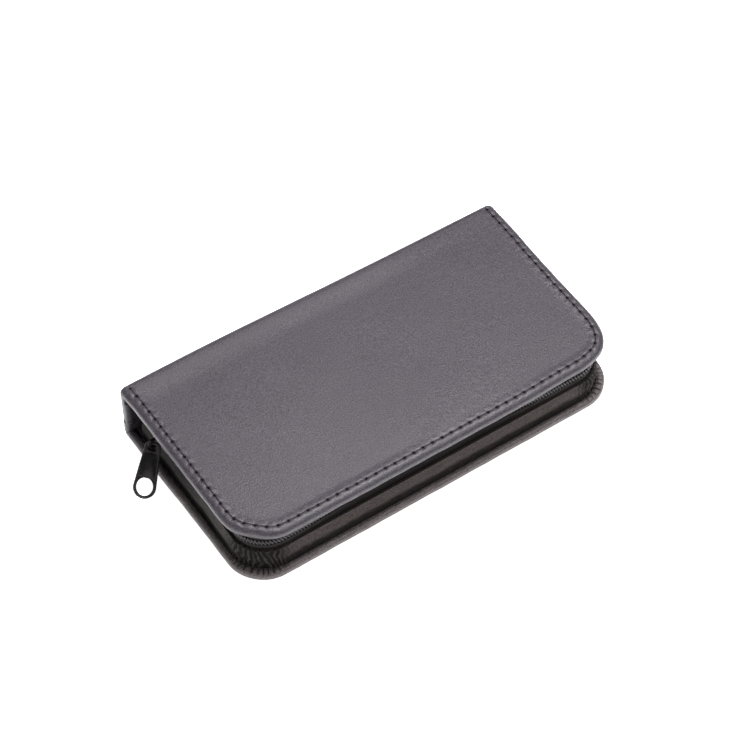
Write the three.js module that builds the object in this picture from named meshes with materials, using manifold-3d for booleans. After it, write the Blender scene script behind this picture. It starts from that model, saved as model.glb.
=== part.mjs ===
// Zip-round manicure set case in padded leather, with its tools inside.
// Millimetres, +Z up. The origin is the centre of the base's underside, +X runs along the length
// and the spine is on the +Y side.

import * as THREE from "three";
import { mergeVertices } from "three/addons/utils/BufferGeometryUtils.js";
import Module from "manifold-3d";

const wasm = await Module();
wasm.setup();

// Driving dimensions of the closed case
const CASE_LENGTH = 150;
const CASE_DEPTH = 79;
const CASE_HEIGHT = 24.6;
const LID_CORNER = 18;
const LID_SETBACK = 0.2;
const BASE_CORNER = 14;

// Padded covers: leather turned round a board
const LEATHER = 1.0;
const BOARD = 1.2;
const HEM_WIDTH = 8;
const FOLD_RADIUS = 2.5;
const COVER = 2 * LEATHER + BOARD;

// Seams
const STITCH_INSET = 3.0;
const THREAD_WIDTH = 0.5;
const THREAD_HEIGHT = 0.4;
const GROOVE_CLEARANCE = 0.15;

// Gusset and zip, which run round three sides
const ZIP_CORNER = 16;
const GUSSET_INSET = 3.2;
const GUSSET_SKIN = 0.8;
const FOOT_WIDTH = 4.8;
const TAPE = 0.6;
const TAPE_LAP = 2.0;
const TAPE_FOOT = 0.6;
const COIL_WIDTH = 1.5;
const COIL_HEIGHT = 1.6;
const TOOTH_PITCH = 2.4;
const TOOTH_DEPTH = 0.8;
const TOOTH_GAP = 0.3;
const TAPE_SHOWN = 2;
const CHAIN_HEIGHT = 15;
const CHAIN_START_FROM_SPINE = 19.1;
const BOTTOM_STOP_FROM_SPINE = 11;
const WALL_END_FROM_SPINE = 6.5;
const STOP_LENGTH = 2;

// Slider and puller
const SLIDER_LENGTH = 9;
const SLIDER_WIDTH = 6.4;
const SLIDER_TAIL_WIDTH = 5.6;
const WING = 0.9;
const SLOT = 1.2;
const FLANGE = 0.8;
const NECK_LENGTH = 2.4;
const NECK_WIDTH = 1.6;
const BRIDGE_REACH = 4.2;
const BRIDGE_HEIGHT = 4.2;
const BRIDGE_WIDTH = 1.0;
const BRIDGE_METAL = 0.8;
const BRIDGE_CHAMFER = 0.9;
const PULLER_REACH = 19;
const PULLER_PIVOT_REACH = 2.1;
const PULLER_METAL = 0.8;
const PULLER_TOP_WIDTH = 5.4;
const PULLER_RING = 7.6;
const PULLER_HOLE = 5.8;
const PULLER_BAR = 0.8;
const PULLER_EYE_WIDTH = 4.0;
const PULLER_EYE_LENGTH = 3.6;
const PULLER_SWING = THREE.MathUtils.degToRad(40);
const PULLER_LEAN = THREE.MathUtils.degToRad(28);
const PULLER_TWIST = THREE.MathUtils.degToRad(37);

// Clearances and helpers
const FIT = 0.3;
const GLUE_LINE = 0.2;
const OVERRUN = 5;
const CORNER_STEPS = 8;
const ROUND_STEPS = 20;

// Nail clipper
const CLIPPER_LENGTH = 56;
const CLIPPER_WIDTH = 12;
const CLIPPER_STEEL = 1.4;
const CLIPPER_JAW_GAP = 3.2;
const CLIPPER_JAW_LENGTH = 7;
const CLIPPER_BITE = 0.6;
const CLIPPER_HEEL = 9;
const CLIPPER_PIN = 3;
const CLIPPER_PIN_HEAD = 5;
const CLIPPER_PIN_HEAD_HEIGHT = 0.8;
const CLIPPER_PIN_FROM_TIP = 8;
const LEVER_LENGTH = 50;
const LEVER_WIDTH = 9;
const LEVER_STEEL = 1.3;
const LEVER_LIFT = 1.6;

// Scissors
const SCISSORS_STEEL = 1.6;
const BLADE_LENGTH = 34;
const BLADE_WIDTH = 4.6;
const SHANK_LENGTH = 33;
const SHANK_WIDTH = 3.6;
const BOW_LENGTH = 24;
const BOW_WIDTH = 19.6;
const BOW_WIRE = 2.6;
const BOW_GAP = 1.0;
const SCREW = 2.6;
const SCREW_HEAD = 5;
const SCREW_HEAD_HEIGHT = 0.8;

// Tools in the lid. The file and the pusher fill its length but for the room left at each end.
const FILE_END_ROOM = 10;
const FILE_WIDTH = 8;
const FILE_STEEL = 1.0;
const FILE_TANG = 14;
const FILE_TANG_WIDTH = 3;
const HANDLE_LENGTH = 46;
const HANDLE_WIDTH = 11;
const HANDLE_HEIGHT = 3.8;
const TWEEZERS_LENGTH = 88;
const TWEEZERS_WIDTH = 8;
const TWEEZERS_HEIGHT = 4;
const TWEEZERS_STEEL = 1.0;
const PUSHER_END_ROOM = 11;
const PUSHER_ROD = 3.6;
const PUSHER_TIP_LENGTH = 16;
const PUSHER_TIP_WIDTH = 6;
const PUSHER_TIP_STEEL = 1.2;

// Taper of the tools' ends, as shares of their own width
const BLADE_TIP_SHARE = 0.1;
const FILE_TIP_SHARE = 0.4;
const HANDLE_NECK_SHARE = 0.6;
const PUSHER_POINT_SHARE = 0.3;

// Elastic straps that hold the tools
const STRAP = 0.7;
const STRAP_WIDTH = 10;
const STRAP_FOOT = 4;

// Places of the tools: from the case's edges in the base, as shares of its depth in the lid
const CLIPPER_FROM_END = 13;
const CLIPPER_FROM_SPINE = 15.5;
const SCISSORS_FROM_FRONT = 27;
const FILE_DEPTH_SHARE = 0.25;
const TWEEZERS_DEPTH_SHARE = 0.025;
const PUSHER_DEPTH_SHARE = -0.2;

// Places of the straps, as shares of the length of what they lie on
const CLIPPER_STRAP_SHARE = 0.64;
const SCISSORS_STRAP_SHARE = 0.6;
const LID_STRAP_SHARES = { lid_strap_left: -0.75, lid_strap_right: 0.75 };

// Finishes
const finishes = {
  leather: { color: 0x6f6c72, roughness: 0.5, metalness: 0 },
  board: { color: 0x8d8371, roughness: 0.9, metalness: 0 },
  lining: { color: 0x2b2a2d, roughness: 0.85, metalness: 0 },
  tape: { color: 0x1b1a1c, roughness: 0.8, metalness: 0 },
  coil: { color: 0x232224, roughness: 0.45, metalness: 0 },
  thread: { color: 0x2a272a, roughness: 0.7, metalness: 0 },
  black_metal: { color: 0x141314, roughness: 0.25, metalness: 0.6 },
  steel: { color: 0xc6c8cb, roughness: 0.22, metalness: 1 },
  elastic: { color: 0x242326, roughness: 0.85, metalness: 0 },
  handle: { color: 0x2a2729, roughness: 0.35, metalness: 0 },
};
const materials = Object.fromEntries(
  Object.entries(finishes).map(([name, look]) => [name, new THREE.MeshStandardMaterial(look)]),
);

// A closed geometry as a solid that can be joined and cut.
function solid(geometry) {
  const bare = geometry.clone();
  bare.deleteAttribute("normal");
  bare.deleteAttribute("uv");
  const merged = mergeVertices(bare);
  const vertProperties = new Float32Array(merged.attributes.position.array);
  const triVerts = new Uint32Array(merged.index.array);
  return new wasm.Manifold(new wasm.Mesh({ numProp: 3, vertProperties, triVerts }));
}

// A solid back as a geometry.
function geometryOf(made) {
  const mesh = made.getMesh();
  const geometry = new THREE.BufferGeometry();
  geometry.setAttribute("position", new THREE.BufferAttribute(new Float32Array(mesh.vertProperties), 3));
  geometry.setIndex(new THREE.BufferAttribute(new Uint32Array(mesh.triVerts), 1));
  geometry.computeVertexNormals();
  return geometry;
}

function cut(body, ...tools) {
  return geometryOf(tools.reduce((left, tool) => left.subtract(solid(tool)), solid(body)));
}

function join(body, ...others) {
  return geometryOf(others.reduce((whole, other) => whole.add(solid(other)), solid(body)));
}

function mesh(name, finish, geometry) {
  const made = new THREE.Mesh(geometry, materials[finish]);
  made.name = name;
  return made;
}

// A flat shape as a slab between two heights.
function slab(shape, from, to) {
  const options = { depth: Math.abs(to - from), bevelEnabled: false, curveSegments: CORNER_STEPS };
  return new THREE.ExtrudeGeometry(shape, options).translate(0, 0, Math.min(from, to));
}

// A box between two corners.
function block(low, high) {
  const size = high.map((value, axis) => value - low[axis]);
  const middle = high.map((value, axis) => (value + low[axis]) / 2);
  return new THREE.BoxGeometry(...size).translate(...middle);
}

// A side view, drawn in X and Z, as a bar of the given width that is centred on a Y value.
function sideBar(outline, width, y) {
  const shape = new THREE.Shape(outline.map(([x, z]) => new THREE.Vector2(x, z)));
  const options = { depth: width, bevelEnabled: false, curveSegments: CORNER_STEPS };
  const bar = new THREE.ExtrudeGeometry(shape, options);
  return bar.rotateX(Math.PI / 2).translate(0, y + width / 2, 0);
}

// A round bar along Z.
function rod(radius, from, to, x, y) {
  const bar = new THREE.CylinderGeometry(radius, radius, to - from, ROUND_STEPS);
  return bar.rotateX(Math.PI / 2).translate(x, y, (from + to) / 2);
}

// The outline of a cover: square at the spine, rounded at the two front corners.
function coverShape({ corner, setback }, inset, back) {
  const side = CASE_LENGTH / 2 - inset;
  const front = setback - CASE_DEPTH / 2 + inset;
  const radius = corner - inset;
  const shape = new THREE.Shape();
  shape.moveTo(-side, back);
  shape.lineTo(-side, front + radius);
  shape.absarc(-side + radius, front + radius, radius, Math.PI, 1.5 * Math.PI, false);
  shape.absarc(side - radius, front + radius, radius, 1.5 * Math.PI, 2 * Math.PI, false);
  shape.lineTo(side, back);
  return shape;
}

// The case's edge as stations, from the left end of the spine round the front to the right end.
// Each has a point on the edge and the way in from it, so a strip at any inset follows the corners.
function edgeStations({ corner, setback }, backLeft, backRight = backLeft) {
  const side = CASE_LENGTH / 2;
  const front = setback - CASE_DEPTH / 2;
  const stations = [{ x: -side, y: backLeft, inX: 1, inY: 0 }];
  for (const turn of [0, 1]) {
    for (let step = 0; step <= CORNER_STEPS; step += 1) {
      const angle = Math.PI + ((turn + step / CORNER_STEPS) * Math.PI) / 2;
      const middle = turn ? side - corner : corner - side;
      const outX = Math.cos(angle);
      const outY = Math.sin(angle);
      const x = middle + corner * outX;
      const y = front + corner + corner * outY;
      stations.push({ x, y, inX: -outX, inY: -outY });
    }
  }
  stations.push({ x: side, y: backRight, inX: -1, inY: 0 });
  return stations;
}

// A strip along stations. Its section is a list of [inset, z] points, anticlockwise, per station.
function strip(stations, sectionAt) {
  const count = sectionAt(0).length;
  const positions = [];
  stations.forEach((station, index) => {
    for (const [inset, z] of sectionAt(index)) {
      positions.push(station.x + station.inX * inset, station.y + station.inY * inset, z);
    }
  });
  const faces = [];
  for (let index = 0; index + 1 < stations.length; index += 1) {
    for (let corner = 0; corner < count; corner += 1) {
      const next = (corner + 1) % count;
      const near = index * count;
      const far = near + count;
      faces.push(near + corner, near + next, far + next);
      faces.push(near + corner, far + next, far + corner);
    }
  }
  const outline = sectionAt(0).map(([inset, z]) => new THREE.Vector2(inset, z));
  const last = (stations.length - 1) * count;
  for (const triangle of THREE.ShapeUtils.triangulateShape(outline, [])) {
    const turn = THREE.ShapeUtils.area(triangle.map((point) => outline[point]));
    const [a, b, c] = turn > 0 ? triangle : triangle.reverse();
    faces.push(a, c, b);
    faces.push(last + a, last + b, last + c);
  }
  const geometry = new THREE.BufferGeometry();
  geometry.setAttribute("position", new THREE.Float32BufferAttribute(positions, 3));
  geometry.setIndex(faces);
  geometry.computeVertexNormals();
  return geometry;
}

// Points at even steps along a path of stations at one inset.
function evenStations(stations, inset, pitch) {
  const points = stations.map((s) => new THREE.Vector2(s.x + s.inX * inset, s.y + s.inY * inset));
  const even = [];
  let behind = 0;
  for (let index = 0; index + 1 < points.length; index += 1) {
    const length = points[index].distanceTo(points[index + 1]);
    let along = even.length * pitch - behind;
    while (along < length) {
      const share = along / length;
      const [before, after] = [stations[index], stations[index + 1]];
      const mix = (key) => THREE.MathUtils.lerp(before[key], after[key], share);
      const size = Math.hypot(mix("inX"), mix("inY"));
      const way = { inX: mix("inX") / size, inY: mix("inY") / size };
      const at = points[index].clone().lerp(points[index + 1], share);
      even.push({ x: at.x - way.inX * inset, y: at.y - way.inY * inset, ...way });
      along += pitch;
    }
    behind += length;
  }
  return even;
}

// Heights and places that several pieces share
const halfDepth = CASE_DEPTH / 2;
const halfLength = CASE_LENGTH / 2;
const panelBack = halfDepth - COVER - FIT;
const skinBack = halfDepth - FOLD_RADIUS;
const wallEnd = halfDepth - WALL_END_FROM_SPINE;
const lidInner = CASE_HEIGHT - COVER;
const footTop = COVER + GUSSET_SKIN;
const chainMiddle = CHAIN_HEIGHT;
const tapeTop = chainMiddle - COIL_HEIGHT;
const gussetTop = tapeTop - TAPE_SHOWN;
const lidTapeBottom = chainMiddle + COIL_HEIGHT;
const tapeInset = GUSSET_INSET + GUSSET_SKIN + GLUE_LINE;
const chainInset = tapeInset + TAPE / 2;
const chainStart = halfDepth - CHAIN_START_FROM_SPINE;
const chainEnd = halfDepth - BOTTOM_STOP_FROM_SPINE;

// Outlines seen from above
const BASE_OUTLINE = { corner: BASE_CORNER, setback: 0 };
const LID_OUTLINE = { corner: LID_CORNER, setback: LID_SETBACK };
const ZIP_OUTLINE = { corner: ZIP_CORNER, setback: 0 };

// Lengths and places of the tools
const roomEnd = halfLength - GUSSET_INSET - FOOT_WIDTH;
const fileStart = FILE_END_ROOM - roomEnd;
const handleStart = roomEnd - FILE_END_ROOM - HANDLE_LENGTH;
const fileLength = handleStart - FIT - fileStart;
const pusherLength = 2 * (roomEnd - PUSHER_END_ROOM);
const clipperTip = { x: CLIPPER_FROM_END - halfLength, y: halfDepth - CLIPPER_FROM_SPINE };
const scissorsPivot = {
  x: (BLADE_LENGTH - SHANK_LENGTH - BOW_LENGTH) / 2,
  y: SCISSORS_FROM_FRONT - halfDepth,
};
const fileY = CASE_DEPTH * FILE_DEPTH_SHARE;
const tweezersPlace = { x: -TWEEZERS_LENGTH / 2, y: CASE_DEPTH * TWEEZERS_DEPTH_SHARE };
const pusherPlace = { x: -pusherLength / 2, y: CASE_DEPTH * PUSHER_DEPTH_SHARE };

// A rectangle section for a strip.
function bandSection(insetFrom, insetTo, low, high) {
  return [
    [insetFrom, low],
    [insetTo, low],
    [insetTo, high],
    [insetFrom, high],
  ];
}

function band(stations, insetFrom, insetTo, low, high) {
  return strip(stations, () => bandSection(insetFrom, insetTo, low, high));
}

// Padded cover panel: the leather wraps the board and comes back inside as a hem.
// face is the height of its outer side and inward is +1 or -1.
function coverPanel(side, face, inward, outline) {
  const level = (depth) => face + inward * depth;
  const panel = (inset, back, from, to) => slab(coverShape(outline, inset, back), level(from), level(to));
  const past = panelBack + OVERRUN;
  const skin = panel(0, skinBack, 0, LEATHER);
  const border = panel(0, panelBack, 0, COVER);
  const pocket = panel(LEATHER, past, LEATHER, COVER - LEATHER);
  const window = panel(HEM_WIDTH, past, COVER - LEATHER, COVER + OVERRUN);
  const threadHalf = THREAD_WIDTH / 2;
  const grooveHalf = threadHalf + GROOVE_CLEARANCE;
  const grooveDepth = level(THREAD_HEIGHT + GROOVE_CLEARANCE);
  const low = Math.min(grooveDepth, level(-OVERRUN));
  const high = Math.max(grooveDepth, level(-OVERRUN));
  const seam = edgeStations(outline, skinBack + OVERRUN);
  const groove = band(seam, STITCH_INSET - grooveHalf, STITCH_INSET + grooveHalf, low, high);
  const threadPath = edgeStations(outline, panelBack);
  const threadLow = Math.min(level(GROOVE_CLEARANCE), grooveDepth);
  const threadHigh = threadLow + THREAD_HEIGHT;
  const [threadFrom, threadTo] = [STITCH_INSET - threadHalf, STITCH_INSET + threadHalf];
  const board = panel(LEATHER + GLUE_LINE, panelBack, LEATHER, COVER - LEATHER);
  const lining = panel(HEM_WIDTH + GLUE_LINE, panelBack, COVER - LEATHER, COVER);
  return [
    mesh(`${side}_leather`, "leather", cut(join(skin, border), pocket, window, groove)),
    mesh(`${side}_board`, "board", board),
    mesh(`${side}_lining`, "lining", lining),
    mesh(`${side}_seam_thread`, "thread", band(threadPath, threadFrom, threadTo, threadLow, threadHigh)),
  ];
}

// Spine panel, built the same way, with its hems at its two short ends.
function spinePanel() {
  const low = COVER + FIT;
  const high = CASE_HEIGHT - COVER - FIT;
  const outer = halfDepth;
  const inner = halfDepth - COVER;
  const side = halfLength;
  const skin = block([-side, outer - LEATHER, FOLD_RADIUS], [side, outer, CASE_HEIGHT - FOLD_RADIUS]);
  const border = block([-side, inner, low], [side, outer, high]);
  const pocket = block(
    [LEATHER - side, inner + LEATHER, low - OVERRUN],
    [side - LEATHER, outer - LEATHER, high + OVERRUN],
  );
  const window = block(
    [HEM_WIDTH - side, inner - OVERRUN, low - OVERRUN],
    [side - HEM_WIDTH, inner + LEATHER, high + OVERRUN],
  );
  const boardEnd = side - LEATHER - GLUE_LINE;
  const board = block([-boardEnd, inner + LEATHER, low], [boardEnd, outer - LEATHER, high]);
  const liningEnd = side - HEM_WIDTH - GLUE_LINE;
  const lining = block([-liningEnd, inner, low], [liningEnd, inner + LEATHER, high]);
  return [
    mesh("spine_leather", "leather", cut(join(skin, border), pocket, window)),
    mesh("spine_board", "board", board),
    mesh("spine_lining", "lining", lining),
  ];
}

// Quarter-round leather along a fold. The leather is one piece on the real case.
function foldLeather(name, middleZ, fromAngle) {
  const middleY = halfDepth - FOLD_RADIUS;
  const profile = new THREE.Shape();
  const toAngle = fromAngle + Math.PI / 2;
  profile.absarc(0, 0, FOLD_RADIUS, fromAngle, toAngle, false);
  profile.absarc(0, 0, FOLD_RADIUS - LEATHER, toAngle, fromAngle, true);
  const options = { depth: CASE_LENGTH, bevelEnabled: false, curveSegments: CORNER_STEPS };
  const geometry = new THREE.ExtrudeGeometry(profile, options).translate(0, 0, -halfLength);
  const turned = new THREE.Matrix4().makeBasis(
    new THREE.Vector3(0, 1, 0),
    new THREE.Vector3(0, 0, 1),
    new THREE.Vector3(1, 0, 0),
  );
  return mesh(name, "leather", geometry.applyMatrix4(turned).translate(0, middleY, middleZ));
}

// Gusset with its sewn foot, and the two zip tapes
function zipWalls() {
  const stations = edgeStations(ZIP_OUTLINE, wallEnd);
  const outer = GUSSET_INSET;
  const inner = outer + GUSSET_SKIN;
  const footEnd = outer + FOOT_WIDTH;
  const gusset = [
    [outer, COVER],
    [footEnd, COVER],
    [footEnd, footTop],
    [inner, footTop],
    [inner, gussetTop],
    [outer, gussetTop],
  ];
  const tapeOuter = tapeInset;
  const tapeInner = tapeInset + TAPE;
  const tapeFoot = lidInner - TAPE_FOOT;
  const lidTape = [
    [tapeOuter, lidTapeBottom],
    [tapeInner, lidTapeBottom],
    [tapeInner, tapeFoot],
    [footEnd, tapeFoot],
    [footEnd, lidInner],
    [tapeOuter, lidInner],
  ];
  const crease = STITCH_INSET - THREAD_WIDTH;
  const creaseLow = crease - THREAD_WIDTH / 2;
  const creaseHigh = crease + THREAD_WIDTH / 2;
  const baseTape = band(stations, tapeOuter, tapeInner, gussetTop - TAPE_LAP, tapeTop);
  const seamThread = band(stations, creaseLow, creaseHigh, COVER, COVER + THREAD_HEIGHT);
  return {
    base: [
      mesh("base_gusset", "leather", strip(stations, () => gusset)),
      mesh("base_zip_tape", "tape", baseTape),
      mesh("gusset_seam_thread", "thread", seamThread),
    ],
    lid: [mesh("lid_zip_tape", "tape", strip(stations, () => lidTape))],
  };
}

// Coil rows, meshed tooth between tooth. One tooth stands for two turns of the coil.
function zipChain() {
  const path = edgeStations(ZIP_OUTLINE, chainStart, chainEnd);
  const stations = evenStations(path, chainInset, TOOTH_PITCH / 2);
  const from = chainInset - COIL_WIDTH / 2;
  const to = chainInset + COIL_WIDTH / 2;
  const tooth = (index) => (index % 2 ? TOOTH_DEPTH / 2 : -TOOTH_DEPTH / 2);
  const meeting = (index) => chainMiddle + tooth(index);
  const baseSection = (index) => bandSection(from, to, tapeTop, meeting(index) - TOOTH_GAP / 2);
  const lidSection = (index) => bandSection(from, to, meeting(index) + TOOTH_GAP / 2, lidTapeBottom);
  const end = stations.at(-1);
  const stopX = end.x + end.inX * chainInset;
  const stopHalf = COIL_WIDTH / 2;
  const stopY = end.y + FIT;
  const startX = chainInset - halfLength;
  const topStopY = chainStart + SLIDER_LENGTH / 2 + FIT;
  const stopMiddle = FIT / 2;
  const topStop = (name, low, high) => {
    const corners = [
      [startX - stopHalf, topStopY, low],
      [startX + stopHalf, topStopY + STOP_LENGTH, high],
    ];
    return mesh(name, "black_metal", block(...corners));
  };
  const bottomStop = block(
    [stopX - stopHalf, stopY, tapeTop],
    [stopX + stopHalf, stopY + STOP_LENGTH, lidTapeBottom - FIT],
  );
  return {
    base: [
      mesh("base_zip_coil", "coil", strip(stations, baseSection)),
      topStop("base_top_stop", tapeTop, chainMiddle - stopMiddle),
      mesh("bottom_stop", "black_metal", bottomStop),
    ],
    lid: [
      mesh("lid_zip_coil", "coil", strip(stations, lidSection)),
      topStop("lid_top_stop", chainMiddle + stopMiddle, lidTapeBottom),
    ],
  };
}

// Slider, drawn with X along the chain to its closed end, Y across it and Z into the case
function sliderGeometry() {
  const half = SLIDER_LENGTH / 2;
  const channel = COIL_WIDTH / 2 + FIT;
  const depth = channel + WING;
  const outline = (inset, past) => {
    const head = SLIDER_WIDTH / 2 - inset;
    const tail = SLIDER_TAIL_WIDTH / 2 - inset;
    const points = [
      [-half - past, -tail],
      [0, -tail],
      [half / 2, -head],
      [half + past, -head],
      [half + past, head],
      [half / 2, head],
      [0, tail],
      [-half - past, tail],
    ];
    return new THREE.Shape(points.map(([x, y]) => new THREE.Vector2(x, y)));
  };
  const past = half + OVERRUN;
  const slot = block([-past, -SLIDER_WIDTH, -SLOT / 2], [past, SLIDER_WIDTH, SLOT / 2]);
  const inside = slab(outline(FLANGE, OVERRUN), -channel, channel);
  const shell = cut(slab(outline(0, 0), -depth, depth), inside, slot);
  const neckShape = new THREE.Shape([
    new THREE.Vector2(half - NECK_LENGTH, 0),
    new THREE.Vector2(half, -NECK_WIDTH / 2),
    new THREE.Vector2(half, NECK_WIDTH / 2),
  ]);
  const neck = slab(neckShape, -channel - WING / 2, channel + WING / 2);
  const high = BRIDGE_HEIGHT / 2;
  const outer = archPoints(high, BRIDGE_REACH, BRIDGE_CHAMFER);
  const innerReach = BRIDGE_REACH - BRIDGE_METAL;
  const inner = archPoints(high - BRIDGE_METAL, innerReach, BRIDGE_CHAMFER / 2).reverse();
  const arch = new THREE.Shape([...outer, ...inner]);
  const options = { depth: BRIDGE_WIDTH, bevelEnabled: false };
  const bridge = new THREE.ExtrudeGeometry(arch, options).translate(0, 0, -BRIDGE_WIDTH / 2);
  const standing = new THREE.Matrix4().makeBasis(
    new THREE.Vector3(0, 1, 0),
    new THREE.Vector3(0, 0, -1),
    new THREE.Vector3(-1, 0, 0),
  );
  return join(shell, neck, bridge.applyMatrix4(standing).translate(0, 0, -depth));
}

// Half of a chamfered arch's outline, from one foot over the top to the other. The feet reach
// into the metal that the arch stands on.
function archPoints(half, reach, chamfer) {
  const foot = -WING / 2;
  const points = [
    [half, foot],
    [half, reach - chamfer],
    [half - chamfer, reach],
    [chamfer - half, reach],
    [-half, reach - chamfer],
    [-half, foot],
  ];
  return points.map(([x, y]) => new THREE.Vector2(x, y));
}

// Puller, drawn hanging from its bar, which is at the origin
function pullerGeometry() {
  const ring = PULLER_RING / 2;
  const centre = ring - PULLER_REACH;
  const top = PULLER_TOP_WIDTH / 2;
  const bar = PULLER_BAR / 2;
  const shoulder = PULLER_BAR;
  const plate = new THREE.Shape();
  plate.moveTo(-ring, centre);
  plate.absarc(0, centre, ring, Math.PI, 2 * Math.PI, false);
  plate.lineTo(top, -shoulder);
  plate.lineTo(top - shoulder, bar);
  plate.lineTo(shoulder - top, bar);
  plate.lineTo(-top, -shoulder);
  const hole = new THREE.Path();
  hole.absarc(0, centre, PULLER_HOLE / 2, 0, 2 * Math.PI, true);
  const eye = new THREE.Path();
  const eyeHalf = PULLER_EYE_WIDTH / 2;
  const eyeEnd = -bar - PULLER_EYE_LENGTH;
  eye.moveTo(-eyeHalf, -bar);
  eye.lineTo(eyeHalf, -bar);
  eye.lineTo(eyeHalf, eyeEnd + eyeHalf / 2);
  eye.lineTo(eyeHalf / 2, eyeEnd);
  eye.lineTo(-eyeHalf / 2, eyeEnd);
  eye.lineTo(-eyeHalf, eyeEnd + eyeHalf / 2);
  plate.holes.push(hole, eye);
  return slab(plate, -PULLER_METAL / 2, PULLER_METAL / 2);
}

function sliderAndPuller() {
  const chainX = chainInset - halfLength;
  const slider = mesh("zip_slider", "black_metal", sliderGeometry());
  const along = new THREE.Vector3(0, 1, 0);
  const up = new THREE.Vector3(0, 0, 1);
  const inside = new THREE.Vector3(1, 0, 0);
  slider.quaternion.setFromRotationMatrix(new THREE.Matrix4().makeBasis(along, up, inside));
  slider.position.set(chainX, chainStart, chainMiddle);
  const puller = mesh("zip_puller", "black_metal", pullerGeometry());
  const plateLength = new THREE.Vector3(0, 1, 0);
  const outside = inside.clone().negate();
  const hanging = new THREE.Matrix4().makeBasis(along.clone().negate(), up, outside);
  puller.quaternion
    .setFromAxisAngle(along, PULLER_SWING)
    .multiply(new THREE.Quaternion().setFromAxisAngle(inside, -PULLER_LEAN))
    .multiply(new THREE.Quaternion().setFromRotationMatrix(hanging))
    .multiply(new THREE.Quaternion().setFromAxisAngle(plateLength, PULLER_TWIST));
  const wingFace = chainX - COIL_WIDTH / 2 - FIT - WING;
  puller.position.set(wingFace - PULLER_PIVOT_REACH, chainStart, chainMiddle);
  return [slider, puller];
}

// Nail clipper, lying along X with its jaws to the left
function nailClipper() {
  const { x: tip, y } = clipperTip;
  const heel = tip + CLIPPER_LENGTH;
  const headTop = COVER + FIT + CLIPPER_PIN_HEAD_HEIGHT;
  const lowerTop = headTop + CLIPPER_STEEL;
  const upperLow = lowerTop + CLIPPER_JAW_GAP;
  const bite = lowerTop + CLIPPER_JAW_GAP / 2;
  const jaw = tip + CLIPPER_JAW_LENGTH;
  const edge = tip + CLIPPER_BITE;
  const nip = CLIPPER_BITE / 2;
  const lower = [
    [tip, headTop + CLIPPER_STEEL],
    [jaw, headTop],
    [heel, headTop],
    [heel, lowerTop],
    [jaw, lowerTop],
    [edge, bite - nip],
    [tip, bite - nip],
  ];
  const upper = [
    [tip, bite + nip],
    [edge, bite + nip],
    [jaw, upperLow],
    [heel - CLIPPER_HEEL, lowerTop],
    [heel, lowerTop],
    [heel, lowerTop + CLIPPER_STEEL],
    [heel - CLIPPER_HEEL, lowerTop + CLIPPER_STEEL],
    [jaw, upperLow + CLIPPER_STEEL],
    [tip, upperLow],
  ];
  const pinX = tip + CLIPPER_PIN_FROM_TIP;
  const leverLow = upperLow + CLIPPER_STEEL + FIT;
  const leverHigh = leverLow + LEVER_STEEL;
  const leverBack = pinX - LEVER_WIDTH / 2;
  const leverEnd = leverBack + LEVER_LENGTH;
  const lever = [
    [leverBack, leverLow],
    [pinX + LEVER_WIDTH, leverLow],
    [leverEnd, leverLow + LEVER_LIFT],
    [leverEnd, leverHigh + LEVER_LIFT],
    [pinX + LEVER_WIDTH, leverHigh],
    [leverBack, leverHigh],
  ];
  const pinTop = leverHigh + FIT;
  const hole = rod(CLIPPER_PIN / 2 + FIT, COVER, pinTop + OVERRUN, pinX, y);
  const head = CLIPPER_PIN_HEAD / 2;
  const pin = join(
    rod(CLIPPER_PIN / 2, COVER + FIT, pinTop + CLIPPER_PIN_HEAD_HEIGHT, pinX, y),
    rod(head, COVER + FIT, headTop, pinX, y),
    rod(head, pinTop, pinTop + CLIPPER_PIN_HEAD_HEIGHT, pinX, y),
  );
  return [
    mesh("clipper_lower_jaw", "steel", cut(sideBar(lower, CLIPPER_WIDTH, y), hole)),
    mesh("clipper_upper_jaw", "steel", cut(sideBar(upper, CLIPPER_WIDTH, y), hole)),
    mesh("clipper_pin", "steel", pin),
    mesh("clipper_lever", "steel", cut(sideBar(lever, LEVER_WIDTH, y), hole)),
  ];
}

// One half of the scissors between two heights. bowSide is -1 or +1 along Y.
function scissorsHalf(low, bowSide) {
  const high = low + SCISSORS_STEEL;
  const bowY = (bowSide * (BOW_WIDTH + BOW_GAP)) / 2;
  const bowX = SHANK_LENGTH + BOW_LENGTH / 2;
  const root = BLADE_WIDTH / 2;
  const shank = SHANK_WIDTH / 2;
  const blade = new THREE.Shape([
    new THREE.Vector2(-BLADE_LENGTH, -BLADE_WIDTH * BLADE_TIP_SHARE),
    new THREE.Vector2(0, -root),
    new THREE.Vector2(SHANK_LENGTH + BOW_WIRE / 2, bowY - shank),
    new THREE.Vector2(SHANK_LENGTH + BOW_WIRE / 2, bowY + shank),
    new THREE.Vector2(0, root),
    new THREE.Vector2(-BLADE_LENGTH, BLADE_WIDTH * BLADE_TIP_SHARE),
  ]);
  const bow = new THREE.Shape();
  bow.absellipse(bowX, bowY, BOW_LENGTH / 2, BOW_WIDTH / 2, 0, 2 * Math.PI, false, 0);
  const finger = new THREE.Path();
  const inLength = BOW_LENGTH / 2 - BOW_WIRE;
  const inWidth = BOW_WIDTH / 2 - BOW_WIRE;
  finger.absellipse(bowX, bowY, inLength, inWidth, 0, 2 * Math.PI, true, 0);
  bow.holes.push(finger);
  const hole = rod(SCREW / 2 + FIT, 0, CASE_HEIGHT, 0, 0);
  const half = cut(join(slab(blade, low, high), slab(bow, low, high)), hole);
  return half.translate(scissorsPivot.x, scissorsPivot.y, 0);
}

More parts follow.
